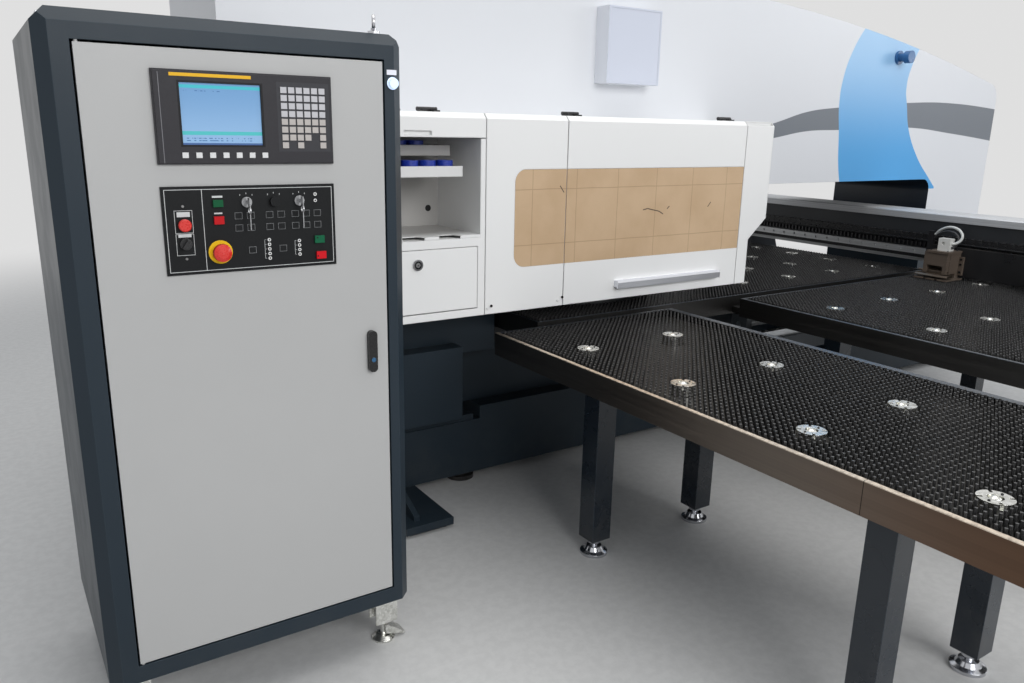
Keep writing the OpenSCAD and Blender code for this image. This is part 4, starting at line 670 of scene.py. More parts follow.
# The faces towards the operator are painted darker and bluer: painted shade.
paint_over(opal, axes(surface_normal(opal))[1] < FACES_OPERATOR, srgb(204, 209, 222))
print("materials so far", len(bpy.data.materials))

# %% [markdown]
# ## The control unit
# The display's bezel, its pale keys and its yellow strip are one moulded unit, and only their depth
# tells them apart, so the masks compare Y. The page on the screen is generic: a pale blue field with
# teal bars and a few lines of blocks, lit from behind with a faint emission. The operator panel is a
# black plate whose lit squares, lamps and ring stand proud of it by different amounts.

# %% Display unit
BEZEL_Y, KEY_Y = -1.2404, -1.2412
STRIP_Z, LOW_KEYS_Z, SOFT_KEYS_Z = 1.5935, 1.512, 1.436

bezel = dress(plastic("bezel_plastic", srgb(48, 47, 51), rough=0.5, dust=0.02, Specular_IOR_Level=0.25),
              "display_unit")
x, y, z = place(bezel)
# The screen's dark border, the line round the keypad and the groove at the left
for low, high, colour in (
        ((-2.4510, -1.3000, 1.4460), (-2.2660, -1.2000, 1.5860), srgb(16, 16, 19)),
        ((-2.2345, -1.2403, 1.4365), (-2.1095, -1.2397, 1.5915), srgb(58, 58, 62)),
        ((-2.4880, -1.2403, 1.3990), (-2.4866, -1.2397, 1.6010), srgb(122, 122, 126))):
    paint_over(bezel, in_box(bezel, low, high), colour)
paint_over(bezel, (y < BEZEL_Y) * (z > STRIP_Z), srgb(238, 184, 40))
keys = (z < LOW_KEYS_Z).mix(srgb(196, 195, 199), srgb(188, 182, 178))
paint_over(bezel, y < KEY_Y, (z < SOFT_KEYS_Z).mix(keys, srgb(222, 222, 222)))
print("bezel painted with", len(bezel.node_tree.nodes), "nodes")

# %% The page on the screen
BARS = [(1.5705, 1.5775, srgb(66, 178, 190)), (1.4715, 1.4795, srgb(74, 176, 178)),
        (1.4500, 1.4545, srgb(70, 100, 150))]
# Each row of blocks has its lowest and highest Z, and the X where it ends
ROWS = [(1.4585, 1.4605, -2.290), (1.4635, 1.4655, -2.290), (1.5640, 1.5660, -2.360)]

screen_page = dress(start("screen_page", Roughness=0.12, Emission_Strength=0.28), "display_screen")
page = place(screen_page)[2].ramp(1.45, 1.58).mix(srgb(134, 170, 206), srgb(106, 148, 190))
for low, high, colour in BARS:
    page = in_box(screen_page, (-3.0, -2.0, low), (-2.0, 0.0, high)).mix(page, colour)
blocks = noise(stretched(surface_point(screen_page), (260.0, 1.0, 40.0)), 1.0, 0.0) > 0.52
for low, high, row_end in ROWS:
    row = in_box(screen_page, (-2.437, -2.0, low), (row_end, 0.0, high))
    page = (row * blocks).mix(page, srgb(70, 110, 160))
for name in ("Base Color", "Emission Color"):
    feed(shader_input(screen_page, name), page)
print("page with", len(BARS), "bars and", len(ROWS), "rows of blocks")

# %% Operator panel and pilot lamp
FACE = -1.2330
KEY_FRONT, YELLOW_FRONT, LAMP_FRONT = FACE - 0.0013, FACE - 0.0004, FACE - 0.0012
LAMP_WHITE, LENS_Y, LABEL_Z = srgb(232, 232, 230), -1.2338, 1.6195
# Lit squares, yellow ring and lamp columns: X from and to, front, Z from and to, colour
PROUD_PARTS = [(-2.395, -2.367, KEY_FRONT, 1.310, 1.331, srgb(6, 84, 50)),
               (-2.160, -2.131, KEY_FRONT, 1.216, 1.238, srgb(6, 92, 60)),
               (-2.395, -2.367, KEY_FRONT, 1.272, 1.294, srgb(190, 18, 26)),
               (-2.157, -2.128, KEY_FRONT, 1.177, 1.199, srgb(206, 16, 30)),
               (-2.410, -2.354, YELLOW_FRONT, 1.180, 1.239, srgb(240, 196, 30)),
               (-2.273, -2.263, LAMP_FRONT, 1.180, 1.238, LAMP_WHITE),
               (-2.200, -2.190, LAMP_FRONT, 1.188, 1.232, LAMP_WHITE),
               (-2.156, -2.146, LAMP_FRONT, 1.316, 1.341, LAMP_WHITE)]
# The small lamps are white rings: X, the Z of the top one, and the step down to the next
LAMP_COLUMNS = [(-2.268, 1.232, 0.011), (-2.195, 1.226, 0.011), (-2.151, 1.336, 0.015)]
LAMP_EYE = 0.0021

panel = dress(plastic("panel_plastic", srgb(15, 17, 19), rough=0.5, radius=0.0005, dust=0.02,
                      Specular_IOR_Level=0.2), "operator_panel")
x, y, z = place(panel)
for x0, x1, front, z0, z1, colour in PROUD_PARTS:
    paint_over(panel, in_box(panel, (x0, -1.3, z0), (x1, front, z1)), colour)
for lamp_x, lamp_z, step in LAMP_COLUMNS:
    from_lamp = reach(x - lamp_x, (z - (lamp_z - step / 2)) % step - step / 2)
    paint_over(panel, (from_lamp < LAMP_EYE) * (y < KEY_FRONT), srgb(20, 20, 22))

pilot = dress(start("lamp_lens", Roughness=0.2, Emission_Strength=0.42), "pilot_lamp")
lens, label = place(pilot)[1] < LENS_Y, place(pilot)[2] > LABEL_Z
holder = label.mix(srgb(190, 192, 196), srgb(240, 240, 248))
feed(shader_input(pilot), lens.mix(holder, srgb(214, 228, 255)))
feed(shader_input(pilot, "Emission Color"), lens.mix(BLACK, srgb(205, 228, 255)))
feed(shader_input(pilot, "Metallic"), (1.0 - lens - label).clamped())
print("undressed parts:", [n for n, o in NODES.items() if not o.data.materials])

# %% [markdown]
# ## Growing what repeats
# Bristles, links, screws and key frames are the same small thing many times over. A geometry-node
# tree sets one shape on many points, and its named inputs keep the sizes adjustable. The result is
# turned into a plain mesh, because instances don't survive an export.

# %% Helpers for geometry trees
def collect(obj):
    bpy.context.collection.objects.link(obj)
    return obj


def mesh_piece(name, vertices, edges=(), faces=(), material=None):
    data = bpy.data.meshes.new(name)
    data.from_pydata([tuple(v) for v in vertices], list(edges), list(faces))
    if material:
        data.materials.append(material)
    return collect(bpy.data.objects.new(name, data))


def geometry_tree(name, *inputs):
    tree, given, result = new_tree("GeometryNodeTree", name, [("Geometry", "Geometry", None), *inputs],
                                   [("Geometry", "Geometry")])
    return tree, given, result["Geometry"]


def join(*parts):
    made = add(parts[0].tree, "GeometryNodeJoinGeometry")
    for part in parts:
        feed(made.socket.node.inputs[0], part)
    return made


def original(shape):
    """The mesh of an object that is given as an input."""
    return add(shape.tree, "GeometryNodeObjectInfo", out="Geometry", transform_space="ORIGINAL", Object=shape)


def coloured(geometry, material):
    return add(geometry.tree, "GeometryNodeSetMaterial", Geometry=geometry, Material=material)


def realized(instances):
    return add(instances.tree, "GeometryNodeRealizeInstances", Geometry=instances)


def triangles(obj):
    return sum(len(p.vertices) - 2 for p in obj.data.polygons)


def grow(name, tree, seed, **values):
    """Runs a tree over a seed object and returns the result as a plain mesh object."""
    modifier = seed.modifiers.new("grow", "NODES")
    modifier.node_group = tree
    for item in tree.interface.items_tree:
        key = item.name.replace(" ", "_")
        if item.item_type == "SOCKET" and item.in_out == "INPUT" and key in values:
            modifier[item.identifier] = values[key]
    graph = bpy.context.evaluated_depsgraph_get()
    data = bpy.data.meshes.new_from_object(seed.evaluated_get(graph), preserve_all_data_layers=True,
                                           depsgraph=graph)
    seed.modifiers.remove(modifier)
    bpy.data.objects.remove(seed)
    data.name = name
    piece = collect(bpy.data.objects.new(name, data))
    print(name, "has", triangles(piece), "triangles")
    return piece


# %% [markdown]
# ## Brush tables
# The sheet slides on tufts of black nylon, set in a board on a square grid. A comb of solid ridges
# stands for them in the CAD model; here every tuft is its own short column, wider at its tip,
# leaning and turned by chance but with a fixed seed. A grid gives the points, the points near a ball
# unit or the turret are deleted, and the board is a filled curve with the same holes.

# %% The tuft and its materials
TUFT_HEIGHT, TUFT_PITCH, BOARD_TOP = 0.035, 0.020, 0.738
TUFT_SIDES, TUFT_FOOT, TUFT_TIP = 6, 0.0022, 0.0038

bristle_black = start("bristle_black", Roughness=0.28, Specular_IOR_Level=1.0)
# Each tuft is painted near black at its foot, painted shade between the tufts, and lighter towards its tip
# with pale strands, a painted highlight and sheen.
tuft_light_and_shade = place(bristle_black)[2].ramp(BOARD_TOP + 0.013, BOARD_TOP + 0.029)
strands = noise(stretched(surface_point(bristle_black), (1500.0, 1500.0, 45.0)), 1.0, 2.0)
feed(shader_input(bristle_black), (tuft_light_and_shade * strands.ramp(0.45, 0.7)).mix(
    tuft_light_and_shade.mix(srgb(2, 2, 3), srgb(44, 44, 45)), srgb(100, 99, 98)))
bump(bristle_black, strands, 0.0008)
board_dark = plastic("board_dark", srgb(24, 23, 22), rough=0.4, dust=0.2)


def ring_points(radius, z, sides, centre=(0.0, 0.0)):
    return [(centre[0] + radius * math.cos(math.tau * i / sides),
             centre[1] + radius * math.sin(math.tau * i / sides), z) for i in range(sides)]


def ring_sides(k, sides):
    """The faces between ring k and the next ring."""
    return [(k * sides + i, k * sides + (i + 1) % sides, (k + 1) * sides + (i + 1) % sides,
             (k + 1) * sides + i) for i in range(sides)]


tuft_points = ring_points(TUFT_FOOT, 0.0, TUFT_SIDES) + ring_points(TUFT_TIP, TUFT_HEIGHT, TUFT_SIDES)
tuft = mesh_piece("tuft", tuft_points,
                  faces=[*ring_sides(0, TUFT_SIDES), tuple(range(TUFT_SIDES, 2 * TUFT_SIDES))])
print("one tuft has", triangles(tuft), "triangles")

# %% The brush field tree: tufts
brush_field, given, result = geometry_tree(
    "Brush field", ("Low Corner", "Vector", (0.0, 0.0, 0.0)), ("Size X", "Float", 1.0),
    ("Size Y", "Float", 1.0), ("Pitch", "Float", TUFT_PITCH), ("Board Top", "Float", BOARD_TOP),
    ("Board Thickness", "Float", 0.010), ("Hole Radius", "Float", 0.042), ("Turret X", "Float", -0.530),
    ("Turret Radius", "Float", 0.0), ("Lean", "Float", 0.03), ("Seed", "Int", 5), ("Tuft", "Object", None),
    ("Bristle", "Material", None), ("Board", "Material", None))
HOLE_GAP, TURRET_GAP, TUFT_TURN = 0.002, 0.004, 0.2
g = brush_field
pitch, size_x, size_y = given["Pitch"], given["Size X"], given["Size Y"]
cells_x, cells_y = (size_x / pitch).math("FLOOR"), (size_y / pitch).math("FLOOR")
grid = add(g, "GeometryNodeMeshGrid", Size_X=(cells_x - 1.0) * pitch, Size_Y=(cells_y - 1.0) * pitch,
           Vertices_X=cells_x, Vertices_Y=cells_y)
corner = axes(given["Low Corner"])
middle = point(g, corner[0] + size_x * 0.5, corner[1] + size_y * 0.5, given["Board Top"])
laid = add(g, "GeometryNodeTransform", Geometry=grid, Translation=middle)
# Clear the ball units and the turret
near_unit = add(g, "GeometryNodeProximity", given["Geometry"], out="Distance", target_element="POINTS")
turret_spot = point(g, x=given["Turret X"], z=given["Board Top"])
from_turret = add(g, "ShaderNodeVectorMath", add(g, "GeometryNodeInputPosition"), turret_spot, out="Value",
                  operation="DISTANCE")
cleared = ((near_unit < given["Hole Radius"] + HOLE_GAP)
           | (from_turret < given["Turret Radius"] + TURRET_GAP))
kept = add(g, "GeometryNodeDeleteGeometry", domain="POINT", Geometry=laid, Selection=cleared)
lean = point(g, given["Lean"], given["Lean"], TUFT_TURN)
lean_back = add(g, "ShaderNodeVectorMath", lean, operation="SCALE", Scale=-1.0)
turn = add(g, "FunctionNodeRandomValue", data_type="FLOAT_VECTOR", Min=lean_back, Max=lean,
           Seed=given["Seed"])
planted = add(g, "GeometryNodeInstanceOnPoints", Points=kept, Instance=original(given["Tuft"]),
              Rotation=turn)
tufts = coloured(realized(planted), given["Bristle"])

# %% The brush field tree: board
# An outline with round holes, filled and given its thickness
HOLE_SIDES, TURRET_SIDES, WELD = 28, 72, 0.00001
outline = add(g, "GeometryNodeCurvePrimitiveQuadrilateral", Width=size_x, Height=size_y)
outline = add(g, "GeometryNodeTransform", Geometry=outline, Translation=middle)
ring = add(g, "GeometryNodeCurvePrimitiveCircle", Resolution=HOLE_SIDES, Radius=given["Hole Radius"])
rings = add(g, "GeometryNodeInstanceOnPoints", Points=given["Geometry"], Instance=ring)
turret_ring = add(g, "GeometryNodeCurvePrimitiveCircle", Resolution=TURRET_SIDES,
                  Radius=given["Turret Radius"])
turret_ring = add(g, "GeometryNodeTransform", Geometry=turret_ring, Translation=turret_spot)
if_turret = add(g, "GeometryNodeSwitch", input_type="GEOMETRY", Switch=given["Turret Radius"] > 0.01,
                **{"True": turret_ring})
filled = add(g, "GeometryNodeFillCurve", Curve=realized(join(outline, rings, if_turret)))
down = point(g, z=given["Board Top"] - given["Board Thickness"])
floor_face = add(g, "GeometryNodeTransform", Geometry=filled, Translation=down)
raised = add(g, "GeometryNodeExtrudeMesh", Mesh=floor_face, Offset=point(g, z=given["Board Thickness"]),
             Offset_Scale=1.0, Individual=False)
solid = join(raised, add(g, "GeometryNodeFlipFaces", Mesh=floor_face))
welded = add(g, "GeometryNodeMergeByDistance", Geometry=solid, Distance=WELD)
feed(result, join(tufts, coloured(welded, given["Board"])))
print("brush field tree has", len(g.nodes), "nodes")

# %% Lay the five brush fields
# The ball units stand in rows; a unit belongs to the table that it falls on
UNITS_X, UNIT_START_Y, UNIT_STEP_Y = (-1.130, -0.730, 0.240, 0.640, 1.040, 1.440), 1.050, 0.456
CENTRE_UNITS = [(x, s * y) for x in (0.350, 0.720, 1.090, 1.460) for y in (0.140, 0.420) for s in (-1, 1)]
SIDE_UNITS = [(x, s * (UNIT_START_Y + UNIT_STEP_Y * j)) for x in UNITS_X for j in range(4) for s in (-1, 1)]
LEFT_X, RIGHT_X, CENTRE_X = (-1.273, -0.428), (0.052, 1.625), (-1.044, 1.634)
NEAR_Y, FAR_Y, CENTRE_Y = (-2.715, -0.712), (0.712, 2.715), (-0.626, 0.626)
TURRET_CLEARANCE = 0.480


def brush_table(name, across_x, across_y, units, turret_radius=0.0):
    (x0, x1), (y0, y1) = across_x, across_y
    inside = [(x, y, BOARD_TOP) for x, y in units if x0 < x < x1 and y0 < y < y1]
    piece = grow(name, brush_field, mesh_piece(name + "_seed", inside), Low_Corner=(x0, y0, 0.0),
                 Size_X=x1 - x0, Size_Y=y1 - y0, Turret_Radius=turret_radius, Tuft=tuft,
                 Bristle=bristle_black, Board=board_dark)
    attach(piece, "machine")
    return piece


near_left = brush_table("brushes_near_left", LEFT_X, NEAR_Y, SIDE_UNITS)
brush_table("brushes_near_right", RIGHT_X, NEAR_Y, SIDE_UNITS)
brush_table("brushes_far_left", LEFT_X, FAR_Y, SIDE_UNITS)
brush_table("brushes_far_right", RIGHT_X, FAR_Y, SIDE_UNITS)
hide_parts("side_brushes")
centre = brush_table("brushes_centre", CENTRE_X, CENTRE_Y, CENTRE_UNITS, TURRET_CLEARANCE)
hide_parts("centre_brushes")
bpy.data.objects.remove(tuft)

# %% [markdown]
# ## Energy chain
# The chain that leads air and cables along the beam is made of links: two waisted side plates and
# two crossbars. A line of points along the beam carries one link each.

# %% One link
WAISTED = [(-0.021, 0.006), (-0.015, 0.0), (0.013, 0.0), (0.021, 0.006), (0.021, 0.022), (0.013, 0.0295),
           (-0.015, 0.0295), (-0.021, 0.022)]
PLATE, LINK_WIDTH = 0.004, 0.034
BAR_HALF, BAR_THICKNESS, BARS_Z = 0.006, 0.003, (0.0255, 0.0005)
STUD_RADIUS, STUD_SIDES, STUD_CENTRE, STUD_THICKNESS = 0.006, 8, (-0.0145, 0.0148), 0.0005


def box_faces(points, x0, x1, y0, y1, z0, z1):
    """Adds a box's corners to points and returns its faces, seen from outside."""
    n = len(points)
    points += [(x, y, z) for x in (x0, x1) for y in (y0, y1) for z in (z0, z1)]
    return [tuple(n + i for i in f) for f in
            ((0, 1, 3, 2), (4, 6, 7, 5), (0, 4, 5, 1), (2, 3, 7, 6), (0, 2, 6, 4), (1, 5, 7, 3))]


def plate_faces(points, outline, x0, x1):
    """Adds a flat plate with its outline drawn in Y and Z, counter-clockwise seen from +X."""
    n, k = len(points), len(outline)
    points += [(x0, y, z) for y, z in outline] + [(x1, y, z) for y, z in outline]
    rim = [(n + i, n + (i + 1) % k, n + k + (i + 1) % k, n + k + i) for i in range(k)]
    return [tuple(n + i for i in reversed(range(k))), tuple(n + k + i for i in range(k)), *rim]


def link_mesh():
    points, faces = [], []
    for x0 in (0.0, LINK_WIDTH - PLATE):
        faces += plate_faces(points, WAISTED, x0, x0 + PLATE)
    for z0 in BARS_Z:
        faces += box_faces(points, PLATE, LINK_WIDTH - PLATE, -BAR_HALF, BAR_HALF, z0, z0 + BAR_THICKNESS)
    stud = [p[:2] for p in ring_points(STUD_RADIUS, 0.0, STUD_SIDES, STUD_CENTRE)]
    for x0 in (-0.0006, LINK_WIDTH + 0.0001):
        faces += plate_faces(points, stud, x0, x0 + STUD_THICKNESS)
    return mesh_piece("link", points, faces=faces)


one_link = link_mesh()
print("one link has", triangles(one_link), "triangles")

# %% The run of links
link_run, given, result = geometry_tree(
    "Link run", ("Start", "Vector", (0.0, 0.0, 0.0)), ("Pitch", "Float", 0.040), ("Count", "Int", 10),
    ("Link", "Object", None), ("Material", "Material", None))
line = add(link_run, "GeometryNodeMeshLine", mode="OFFSET", Count=given["Count"],
           Start_Location=given["Start"], Offset=point(link_run, y=given["Pitch"]))
strung = add(link_run, "GeometryNodeInstanceOnPoints", Points=line, Instance=original(given["Link"]))
feed(result, coloured(realized(strung), given["Material"]))
CHAIN_START, LINK_PITCH, LINK_COUNT = (1.482, -2.340, 0.9562), 0.040, 118
chain = grow("chain_links", link_run, mesh_piece("chain_seed", [(0, 0, 0)]), Start=CHAIN_START,
             Pitch=LINK_PITCH, Count=LINK_COUNT, Link=one_link, Material=black_plastic)
bpy.data.objects.remove(one_link)
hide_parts("energy_chain")
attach(chain, "beam")

# %% [markdown]
# ## Clamp hoses
# Each clamp is fed through a light ribbed conduit that loops over to the fitting, with a thinner
# dark hose inside the loop. The curve goes through the same points as in the CAD source, and the
# ribs come from a radius that swings as the length along the curve grows.

# %% The ribbed hose tree
HOSE_STEP, HOSE_SIDES = 0.00155, 12

ribbed_hose, given, result = geometry_tree(
    "Ribbed hose", ("Radius", "Float", 0.0066), ("Rib Depth", "Float", 0.07), ("Rib Pitch", "Float", 0.0062),
    ("Material", "Material", None))
g = ribbed_hose
curve = add(g, "GeometryNodeMeshToCurve", Mesh=given["Geometry"])
curve = add(g, "GeometryNodeCurveSplineType", spline_type="CATMULL_ROM", Curve=curve)
curve = add(g, "GeometryNodeResampleCurve", mode="LENGTH", Curve=curve, Length=HOSE_STEP)
along = add(g, "GeometryNodeSplineParameter", out="Length")
swell = (along * math.tau / given["Rib Pitch"]).math("SINE") * given["Rib Depth"] + 1.0
curve = add(g, "GeometryNodeSetCurveRadius", Curve=curve, Radius=swell)
circle = add(g, "GeometryNodeCurvePrimitiveCircle", Resolution=HOSE_SIDES, Radius=given["Radius"])
tube = add(g, "GeometryNodeCurveToMesh", Curve=curve, Profile_Curve=circle, Fill_Caps=True, Scale=swell)
smooth = add(g, "GeometryNodeSetShadeSmooth", Geometry=tube)
feed(result, coloured(smooth, given["Material"]))
print("ribbed hose tree has", len(g.nodes), "nodes")

# %% The hoses
# Points in millimetres from the top of each clamp
HOSE_OUT = [(10, 98, 70), (10, 90, 70), (5, 82, 80), (-2, 66, 94), (-12, 38, 108), (-22, 8, 117),
            (-32, -24, 118), (-42, -54, 110), (-50, -76, 94), (-56, -84, 76), (-62, -80, 58), (-68, -68, 46),
            (-74, -56, 40), (-74, -46, 40)]
HOSE_IN = [(10, 98, 52), (10, 91, 52), (5, 84, 60), (-2, 72, 72), (-12, 46, 86), (-24, 14, 95),
           (-34, -16, 95), (-42, -42, 88), (-50, -62, 72), (-56, -68, 54), (-60, -64, 36), (-66, -54, 24),
           (-74, -53, 17), (-74, -46, 17)]
CLAMP_X, CLAMP_Y, CLAMP_TOP = 1.450, (-0.860, -1.420, -1.980), 0.925


def hose_set(name, route, **values):
    """The same hose on every clamp, as one piece."""
    vertices, edges = [], []
    for y in CLAMP_Y:
        n = len(vertices)
        vertices += [(CLAMP_X + p[0] / 1000, y + p[1] / 1000, CLAMP_TOP + p[2] / 1000) for p in route]
        edges += [(n + i, n + i + 1) for i in range(len(route) - 1)]
    piece = grow(name, ribbed_hose, mesh_piece(name + "_seed", vertices, edges), **values)
    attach(piece, "carriage")
    return piece


conduit_grey = plastic("conduit_grey", srgb(206, 208, 206), rough=0.45)
hose_dark = plastic("hose_dark", srgb(58, 58, 60), rough=0.4)
outer_hoses = hose_set("clamp_conduits", HOSE_OUT, Radius=0.0066, Rib_Depth=0.07, Material=conduit_grey)
hose_set("clamp_inner_hoses", HOSE_IN, Radius=0.0053, Rib_Depth=0.0, Material=hose_dark)
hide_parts("clamp_hoses")

# %% [markdown]
# ## Screws
# One screw shape serves everywhere: a cylinder head with a round recess. The seed mesh holds a
# point for each screw, with two attributes: the way it faces and its size. The tree turns a copy of
# the screw to each facing. Screws are gathered by the body that they move with.

# %% The screw tree
SCREW_SIDES = 10
# Radius and height of each ring, for a screw whose head is 1 wide
SCREW_RINGS = [(0.50, -0.05), (0.50, 0.26), (0.43, 0.34), (0.25, 0.34), (0.23, 0.12)]


def screw_mesh():
    points = [p for radius, z in SCREW_RINGS for p in ring_points(radius, z, SCREW_SIDES)]
    faces = [face for k in range(len(SCREW_RINGS) - 1) for face in ring_sides(k, SCREW_SIDES)]
    recess = tuple(range(len(points) - SCREW_SIDES, len(points)))
    return mesh_piece("screw", points, faces=[*faces, recess, tuple(reversed(range(SCREW_SIDES)))])


small_parts, given, result = geometry_tree(
    "Small parts on points", ("Part", "Object", None), ("Material", "Material", None))
g = small_parts
facing = add(g, "GeometryNodeInputNamedAttribute", out="Attribute", data_type="FLOAT_VECTOR", Name="facing")
size = add(g, "GeometryNodeInputNamedAttribute", out="Attribute", data_type="FLOAT", Name="size")
aimed = add(g, "FunctionNodeAlignRotationToVector", axis="Z", Vector=facing)
placed = add(g, "GeometryNodeInstanceOnPoints", Points=given["Geometry"], Instance=original(given["Part"]),
             Rotation=aimed, Scale=size)
feed(result, coloured(realized(placed), given["Material"]))
print("small parts tree has", len(g.nodes), "nodes")


def parts_on_points(name, part, rows, body, material, slot):
    """rows: (place, facing, size) for each copy of the part."""
    seed = mesh_piece(name + "_seed", [r[0] for r in rows])
    seed.data.attributes.new("facing", "FLOAT_VECTOR", "POINT").data.foreach_set(
        "vector", [c for r in rows for c in r[1]])
    seed.data.attributes.new("size", "FLOAT", "POINT").data.foreach_set("value", [r[2] for r in rows])
    piece = grow(name, small_parts, seed, Part=part, Material=material)
    for attribute in ("facing", "size"):
        if attribute in piece.data.attributes:
            piece.data.attributes.remove(piece.data.attributes[attribute])
    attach(piece, body)
    return piece


# %% Rows of screws
UP, DOWN, TO_TABLES, TO_OPERATOR = (0, 0, 1), (0, 0, -1), (-1, 0, 0), (0, -1, 0)
HOOD_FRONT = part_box("hood_shells")[0][1]
HINGE_X, HINGE_TOP, LEAF_REACH = (-0.9425, -0.1185, -1.688, -1.542), 1.5530, 0.0247
WAY_Y, WAY_SCREW_Z, WAY_SCREWS_X = 0.600, 0.5540, [0.36 + 0.08 * i for i in range(21)]
UNIT_SCREW_Z, UNIT_SCREW_RING = 0.7708, 0.027


def around(x, y, z, radius, count, facing, size):
    return [(spot, facing, size) for spot in ring_points(radius, z, count, (x, y))]


unit_rows = [row for x, y in SIDE_UNITS + CENTRE_UNITS
             for row in around(x, y, UNIT_SCREW_Z, UNIT_SCREW_RING, 2, UP, 0.0062)]
machine_rows = [*around(-0.150, 0.0, 1.2140, 0.118, 8, DOWN, 0.020),
                *around(-0.530, 0.0, 0.6040, 0.148, 10, UP, 0.016),
                *[((x, s * WAY_Y, WAY_SCREW_Z), UP, 0.011) for s in (-1, 1) for x in WAY_SCREWS_X]]
hinge_rows = [((x, -0.634, HINGE_TOP), UP, 0.008) for x in HINGE_X]
hood_rows = [((x, HOOD_FRONT, z), TO_OPERATOR, 0.010) for x, z in ((-1.3286, 0.8787), (-1.0104, 0.8807))]
clamp_rows = []
for y in CLAMP_Y:
    clamp_rows += [((1.428, y + dy, CLAMP_TOP), UP, 0.010) for dy in (-0.050, -0.022, 0.030)]
    clamp_rows += [((1.338, y + dy, CLAMP_TOP), UP, 0.010) for dy in (-0.050, 0.038)]
    clamp_rows += [((1.4380, y + s * 0.074, z), TO_TABLES, 0.012)
                   for s in (-1, 1) for z in (0.815, 0.855, 0.882)]
panel_rows = [((-2.457, FACE, z), TO_OPERATOR, 0.006) for z in (1.3165, 1.1985)]
print("screws by the tables", len(unit_rows), "on the machine", len(machine_rows))

# %% Place the screws
screw = screw_mesh()
steel = (metal("screw_steel", srgb(150, 150, 150), stretch=(300.0, 300.0, 300.0)), "steel")
dark = (metal("screw_black", srgb(46, 46, 48), rough=0.35, stretch=(300.0, 300.0, 300.0)), "dark_metal")
parts_on_points("ball_unit_screws", screw, unit_rows, "machine", *dark)
parts_on_points("machine_screws", screw, machine_rows, "machine", *steel)
parts_on_points("hinge_screws", screw, hinge_rows, "machine", *dark)
for body, hinges in (("hood_door", HINGE_X[:2]), ("tool_flap", HINGE_X[2:])):
    leaf_rows = [((x + s * LEAF_REACH, -0.666, HINGE_TOP), UP, 0.008) for x in hinges for s in (-1, 1)]
    parts_on_points(body + "_screws", screw, leaf_rows, body, *dark)
parts_on_points("hood_screws", screw, hood_rows, "machine", *dark)
parts_on_points("clamp_screws", screw, clamp_rows, "carriage", *dark)
parts_on_points("panel_screws", screw, panel_rows, "cabinet_door", *steel)
bpy.data.objects.remove(screw)

# %% [markdown]
# ## Print on the operator panel
# The panel has a thin light outline, a divider, blank label plates and frames round its keys. All of
# it is drawn as strips that stand a fraction of a millimetre proud. The frames repeat, so they are
# grown on the keys' centres; the rest is a short list of rectangles.

# %% Outlines and labels
PRINT_THICKNESS, LABEL_THICKNESS, COMB_STEP = 0.0002, 0.0006, 0.011
print_light = plastic("print_light", srgb(206, 208, 208), rough=0.5, radius=0.0002)


def strip_piece(name, rectangles, thick, body):
    points, faces = [], []
    for x0, x1, z0, z1 in rectangles:
        faces += box_faces(points, x0, x1, FACE - thick, FACE, z0, z1)
    piece = mesh_piece(name, points, faces=faces, material=print_light)
    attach(piece, body)


def frame_strips(x0, x1, z0, z1, w):
    return [(x0, x1, z0, z0 + w), (x0, x1, z1 - w, z1), (x0, x0 + w, z0 + w, z1 - w),
            (x1 - w, x1, z0 + w, z1 - w)]


lines = frame_strips(-2.4945, -2.1085, 1.1685, 1.3535, 0.0013) + [(-2.4150, -2.4137, 1.1698, 1.3522)]
for z0, z1 in ((1.2565, 1.3075), (1.2065, 1.2550)):
    lines += frame_strips(-2.4765, -2.4375, z0, z1, 0.0010)
# A comb beside each column of lamps, and three marks over each selector
for x, count, top in ((-2.2790, 5, 1.232), (-2.2060, 4, 1.226)):
    teeth = [top - COMB_STEP * i for i in range(count)]
    lines += [(x, x + 0.0008, teeth[-1], top), *[(x, x + 0.004, z - 0.0004, z + 0.0004) for z in teeth]]
for x in (-2.316, -2.252, -2.191):
    lines += [(x + dx - 0.0006, x + dx + 0.0006, z, z + 0.0035)
              for dx, z in ((-0.014, 1.3365), (0.0, 1.3400), (0.014, 1.3365))]
strip_piece("panel_lines", lines, PRINT_THICKNESS, "cabinet_door")
labels = [(-2.4710, -2.4430, 1.2930, 1.3040), (-2.4710, -2.4430, 1.2475, 1.2545),
          (-2.3925, -2.3695, 1.3335, 1.3380), (-2.3900, -2.3720, 1.2965, 1.3000)]
strip_piece("panel_labels", labels, LABEL_THICKNESS, "cabinet_door")
print("printed", len(lines), "lines and", len(labels), "labels")

# %% Key frames
KEY_COLUMNS = (-2.336, -2.308, -2.264, -2.236, -2.202, -2.175, -2.147)
KEYS = [(x, z) for x in KEY_COLUMNS for z in (1.291, 1.263)] + [(-2.308, 1.210), (-2.235, 1.210)]

points, faces = [], []
for x0, x1, z0, z1 in frame_strips(-0.0085, 0.0085, -0.0075, 0.0075, 0.0007):
    faces += box_faces(points, x0, x1, z0, z1, 0.0, PRINT_THICKNESS)
key_frame = mesh_piece("key_frame", points, faces=faces)
key_print = plastic("key_print", srgb(128, 130, 132), rough=0.5, radius=0.0002)
parts_on_points("key_frames", key_frame, [((x, LAMP_FRONT, z), TO_OPERATOR, 1.0) for x, z in KEYS],
                "cabinet_door", key_print, "panel_black")
bpy.data.objects.remove(key_frame)

# %% [markdown]
# ## Floor and light
# The press stands on a pale floor in an empty studio. The floor and the backdrop look bright to the camera
# and to reflections, but the light on the machine comes from a few large soft lamps: a broad one overhead,
# one from the operator's side, and a weak fill.

# %% Floor
BACKDROP, FADE_START, FADE_END = (0.74, 0.74, 0.74), 4.0, 8.5
FLOOR_HALF, FLOOR_DROP = 30, 0.0005


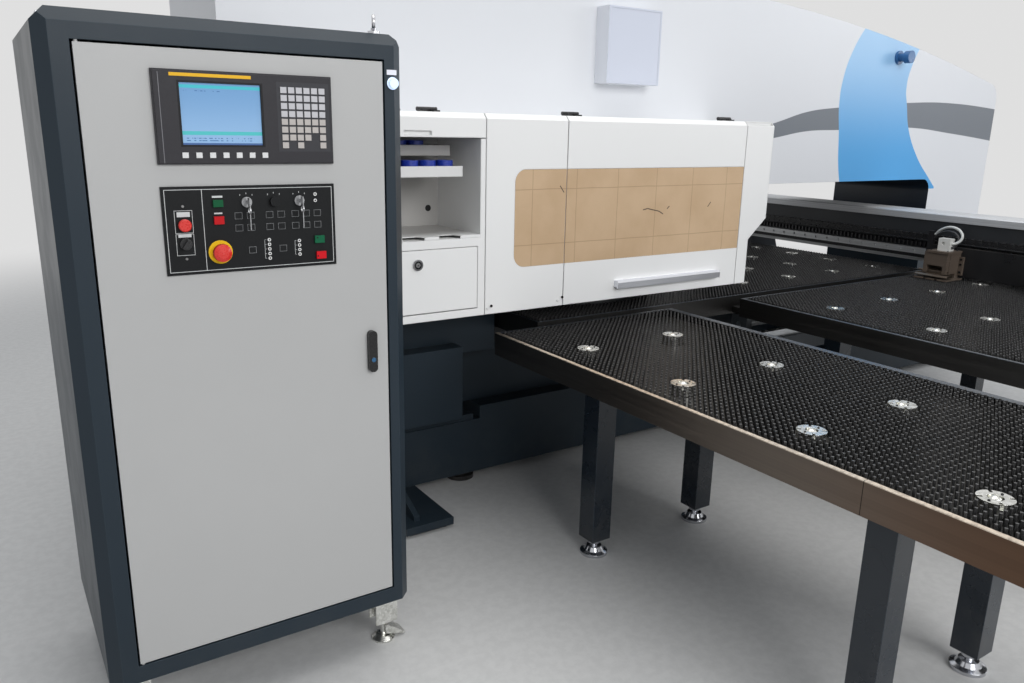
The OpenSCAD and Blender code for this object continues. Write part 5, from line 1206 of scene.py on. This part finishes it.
def watched(tree):
    """1 for what the camera sees, also in a mirror or through glass."""
    rays = add(tree, "ShaderNodeLightPath").socket.node.outputs
    return Wire(rays["Is Camera Ray"]) | (Wire(rays["Is Glossy Ray"]) | Wire(rays["Is Transmission Ray"]))


studio_floor = start("studio_floor", Roughness=0.75)
speckle = noise(surface_point(studio_floor), 30.0, 6.0, 0.6).ramp(0.35, 0.65)
feed(shader_input(studio_floor), speckle.mix(srgb(206, 206, 205), srgb(213, 213, 212)))
# Far from the machine the floor fades into the backdrop, so there is no horizon
x, y, z = place(studio_floor)
far = reach(x, y).ramp(FADE_START, FADE_END)
glow = add(studio_floor, "ShaderNodeEmission", Color=BACKDROP)
surface = studio_floor.node_tree.nodes["Material Output"].inputs["Surface"]
feed(surface, add(studio_floor, "ShaderNodeMixShader", far * watched(studio_floor),
                  Wire(surface.links[0].from_socket), glow))
corners = [(FLOOR_HALF * sx, FLOOR_HALF * sy, 0) for sx, sy in ((-1, -1), (1, -1), (1, 1), (-1, 1))]
floor = mesh_piece("studio_floor", corners, faces=[(0, 1, 2, 3)], material=studio_floor)
floor.location.z = -FLOOR_DROP
print("floor fades from", FADE_START, "to", FADE_END, "m")

# %% World and lamps
world = bpy.data.worlds.new("studio")
bpy.context.scene.world = world
world.use_nodes = True
background = world.node_tree.nodes["Background"].inputs
seen = watched(world)
feed(background["Color"], seen.mix((0.80, 0.84, 0.90), BACKDROP))
feed(background["Strength"], seen.mix(0.42, 1.0, "Float"))


def soft_lamp(name, spot, target, size, watts, tint=(1.0, 1.0, 1.0)):
    data = bpy.data.lights.new(name, "AREA")
    data.shape, data.size, data.size_y = "RECTANGLE", size[0], size[1]
    data.energy, data.color = watts, tint
    lamp = collect(bpy.data.objects.new(name, data))
    lamp.location = spot
    lamp.rotation_euler = (Vector(target) - Vector(spot)).to_track_quat("-Z", "Y").to_euler()


soft_lamp("overhead", (-0.5, -0.5, 6.5), (-0.2, 0.0, 0.0), (7.0, 6.0), 215, (1.0, 0.99, 0.97))
soft_lamp("operator_side", (-1.2, -7.5, 3.8), (-0.6, 0.0, 0.9), (5.0, 2.8), 258)
soft_lamp("right_fill", (6.5, -4.5, 3.2), (1.0, 0.0, 0.8), (3.0, 2.5), 80, (0.95, 0.97, 1.0))

bpy.context.scene.view_settings.view_transform = "Standard"
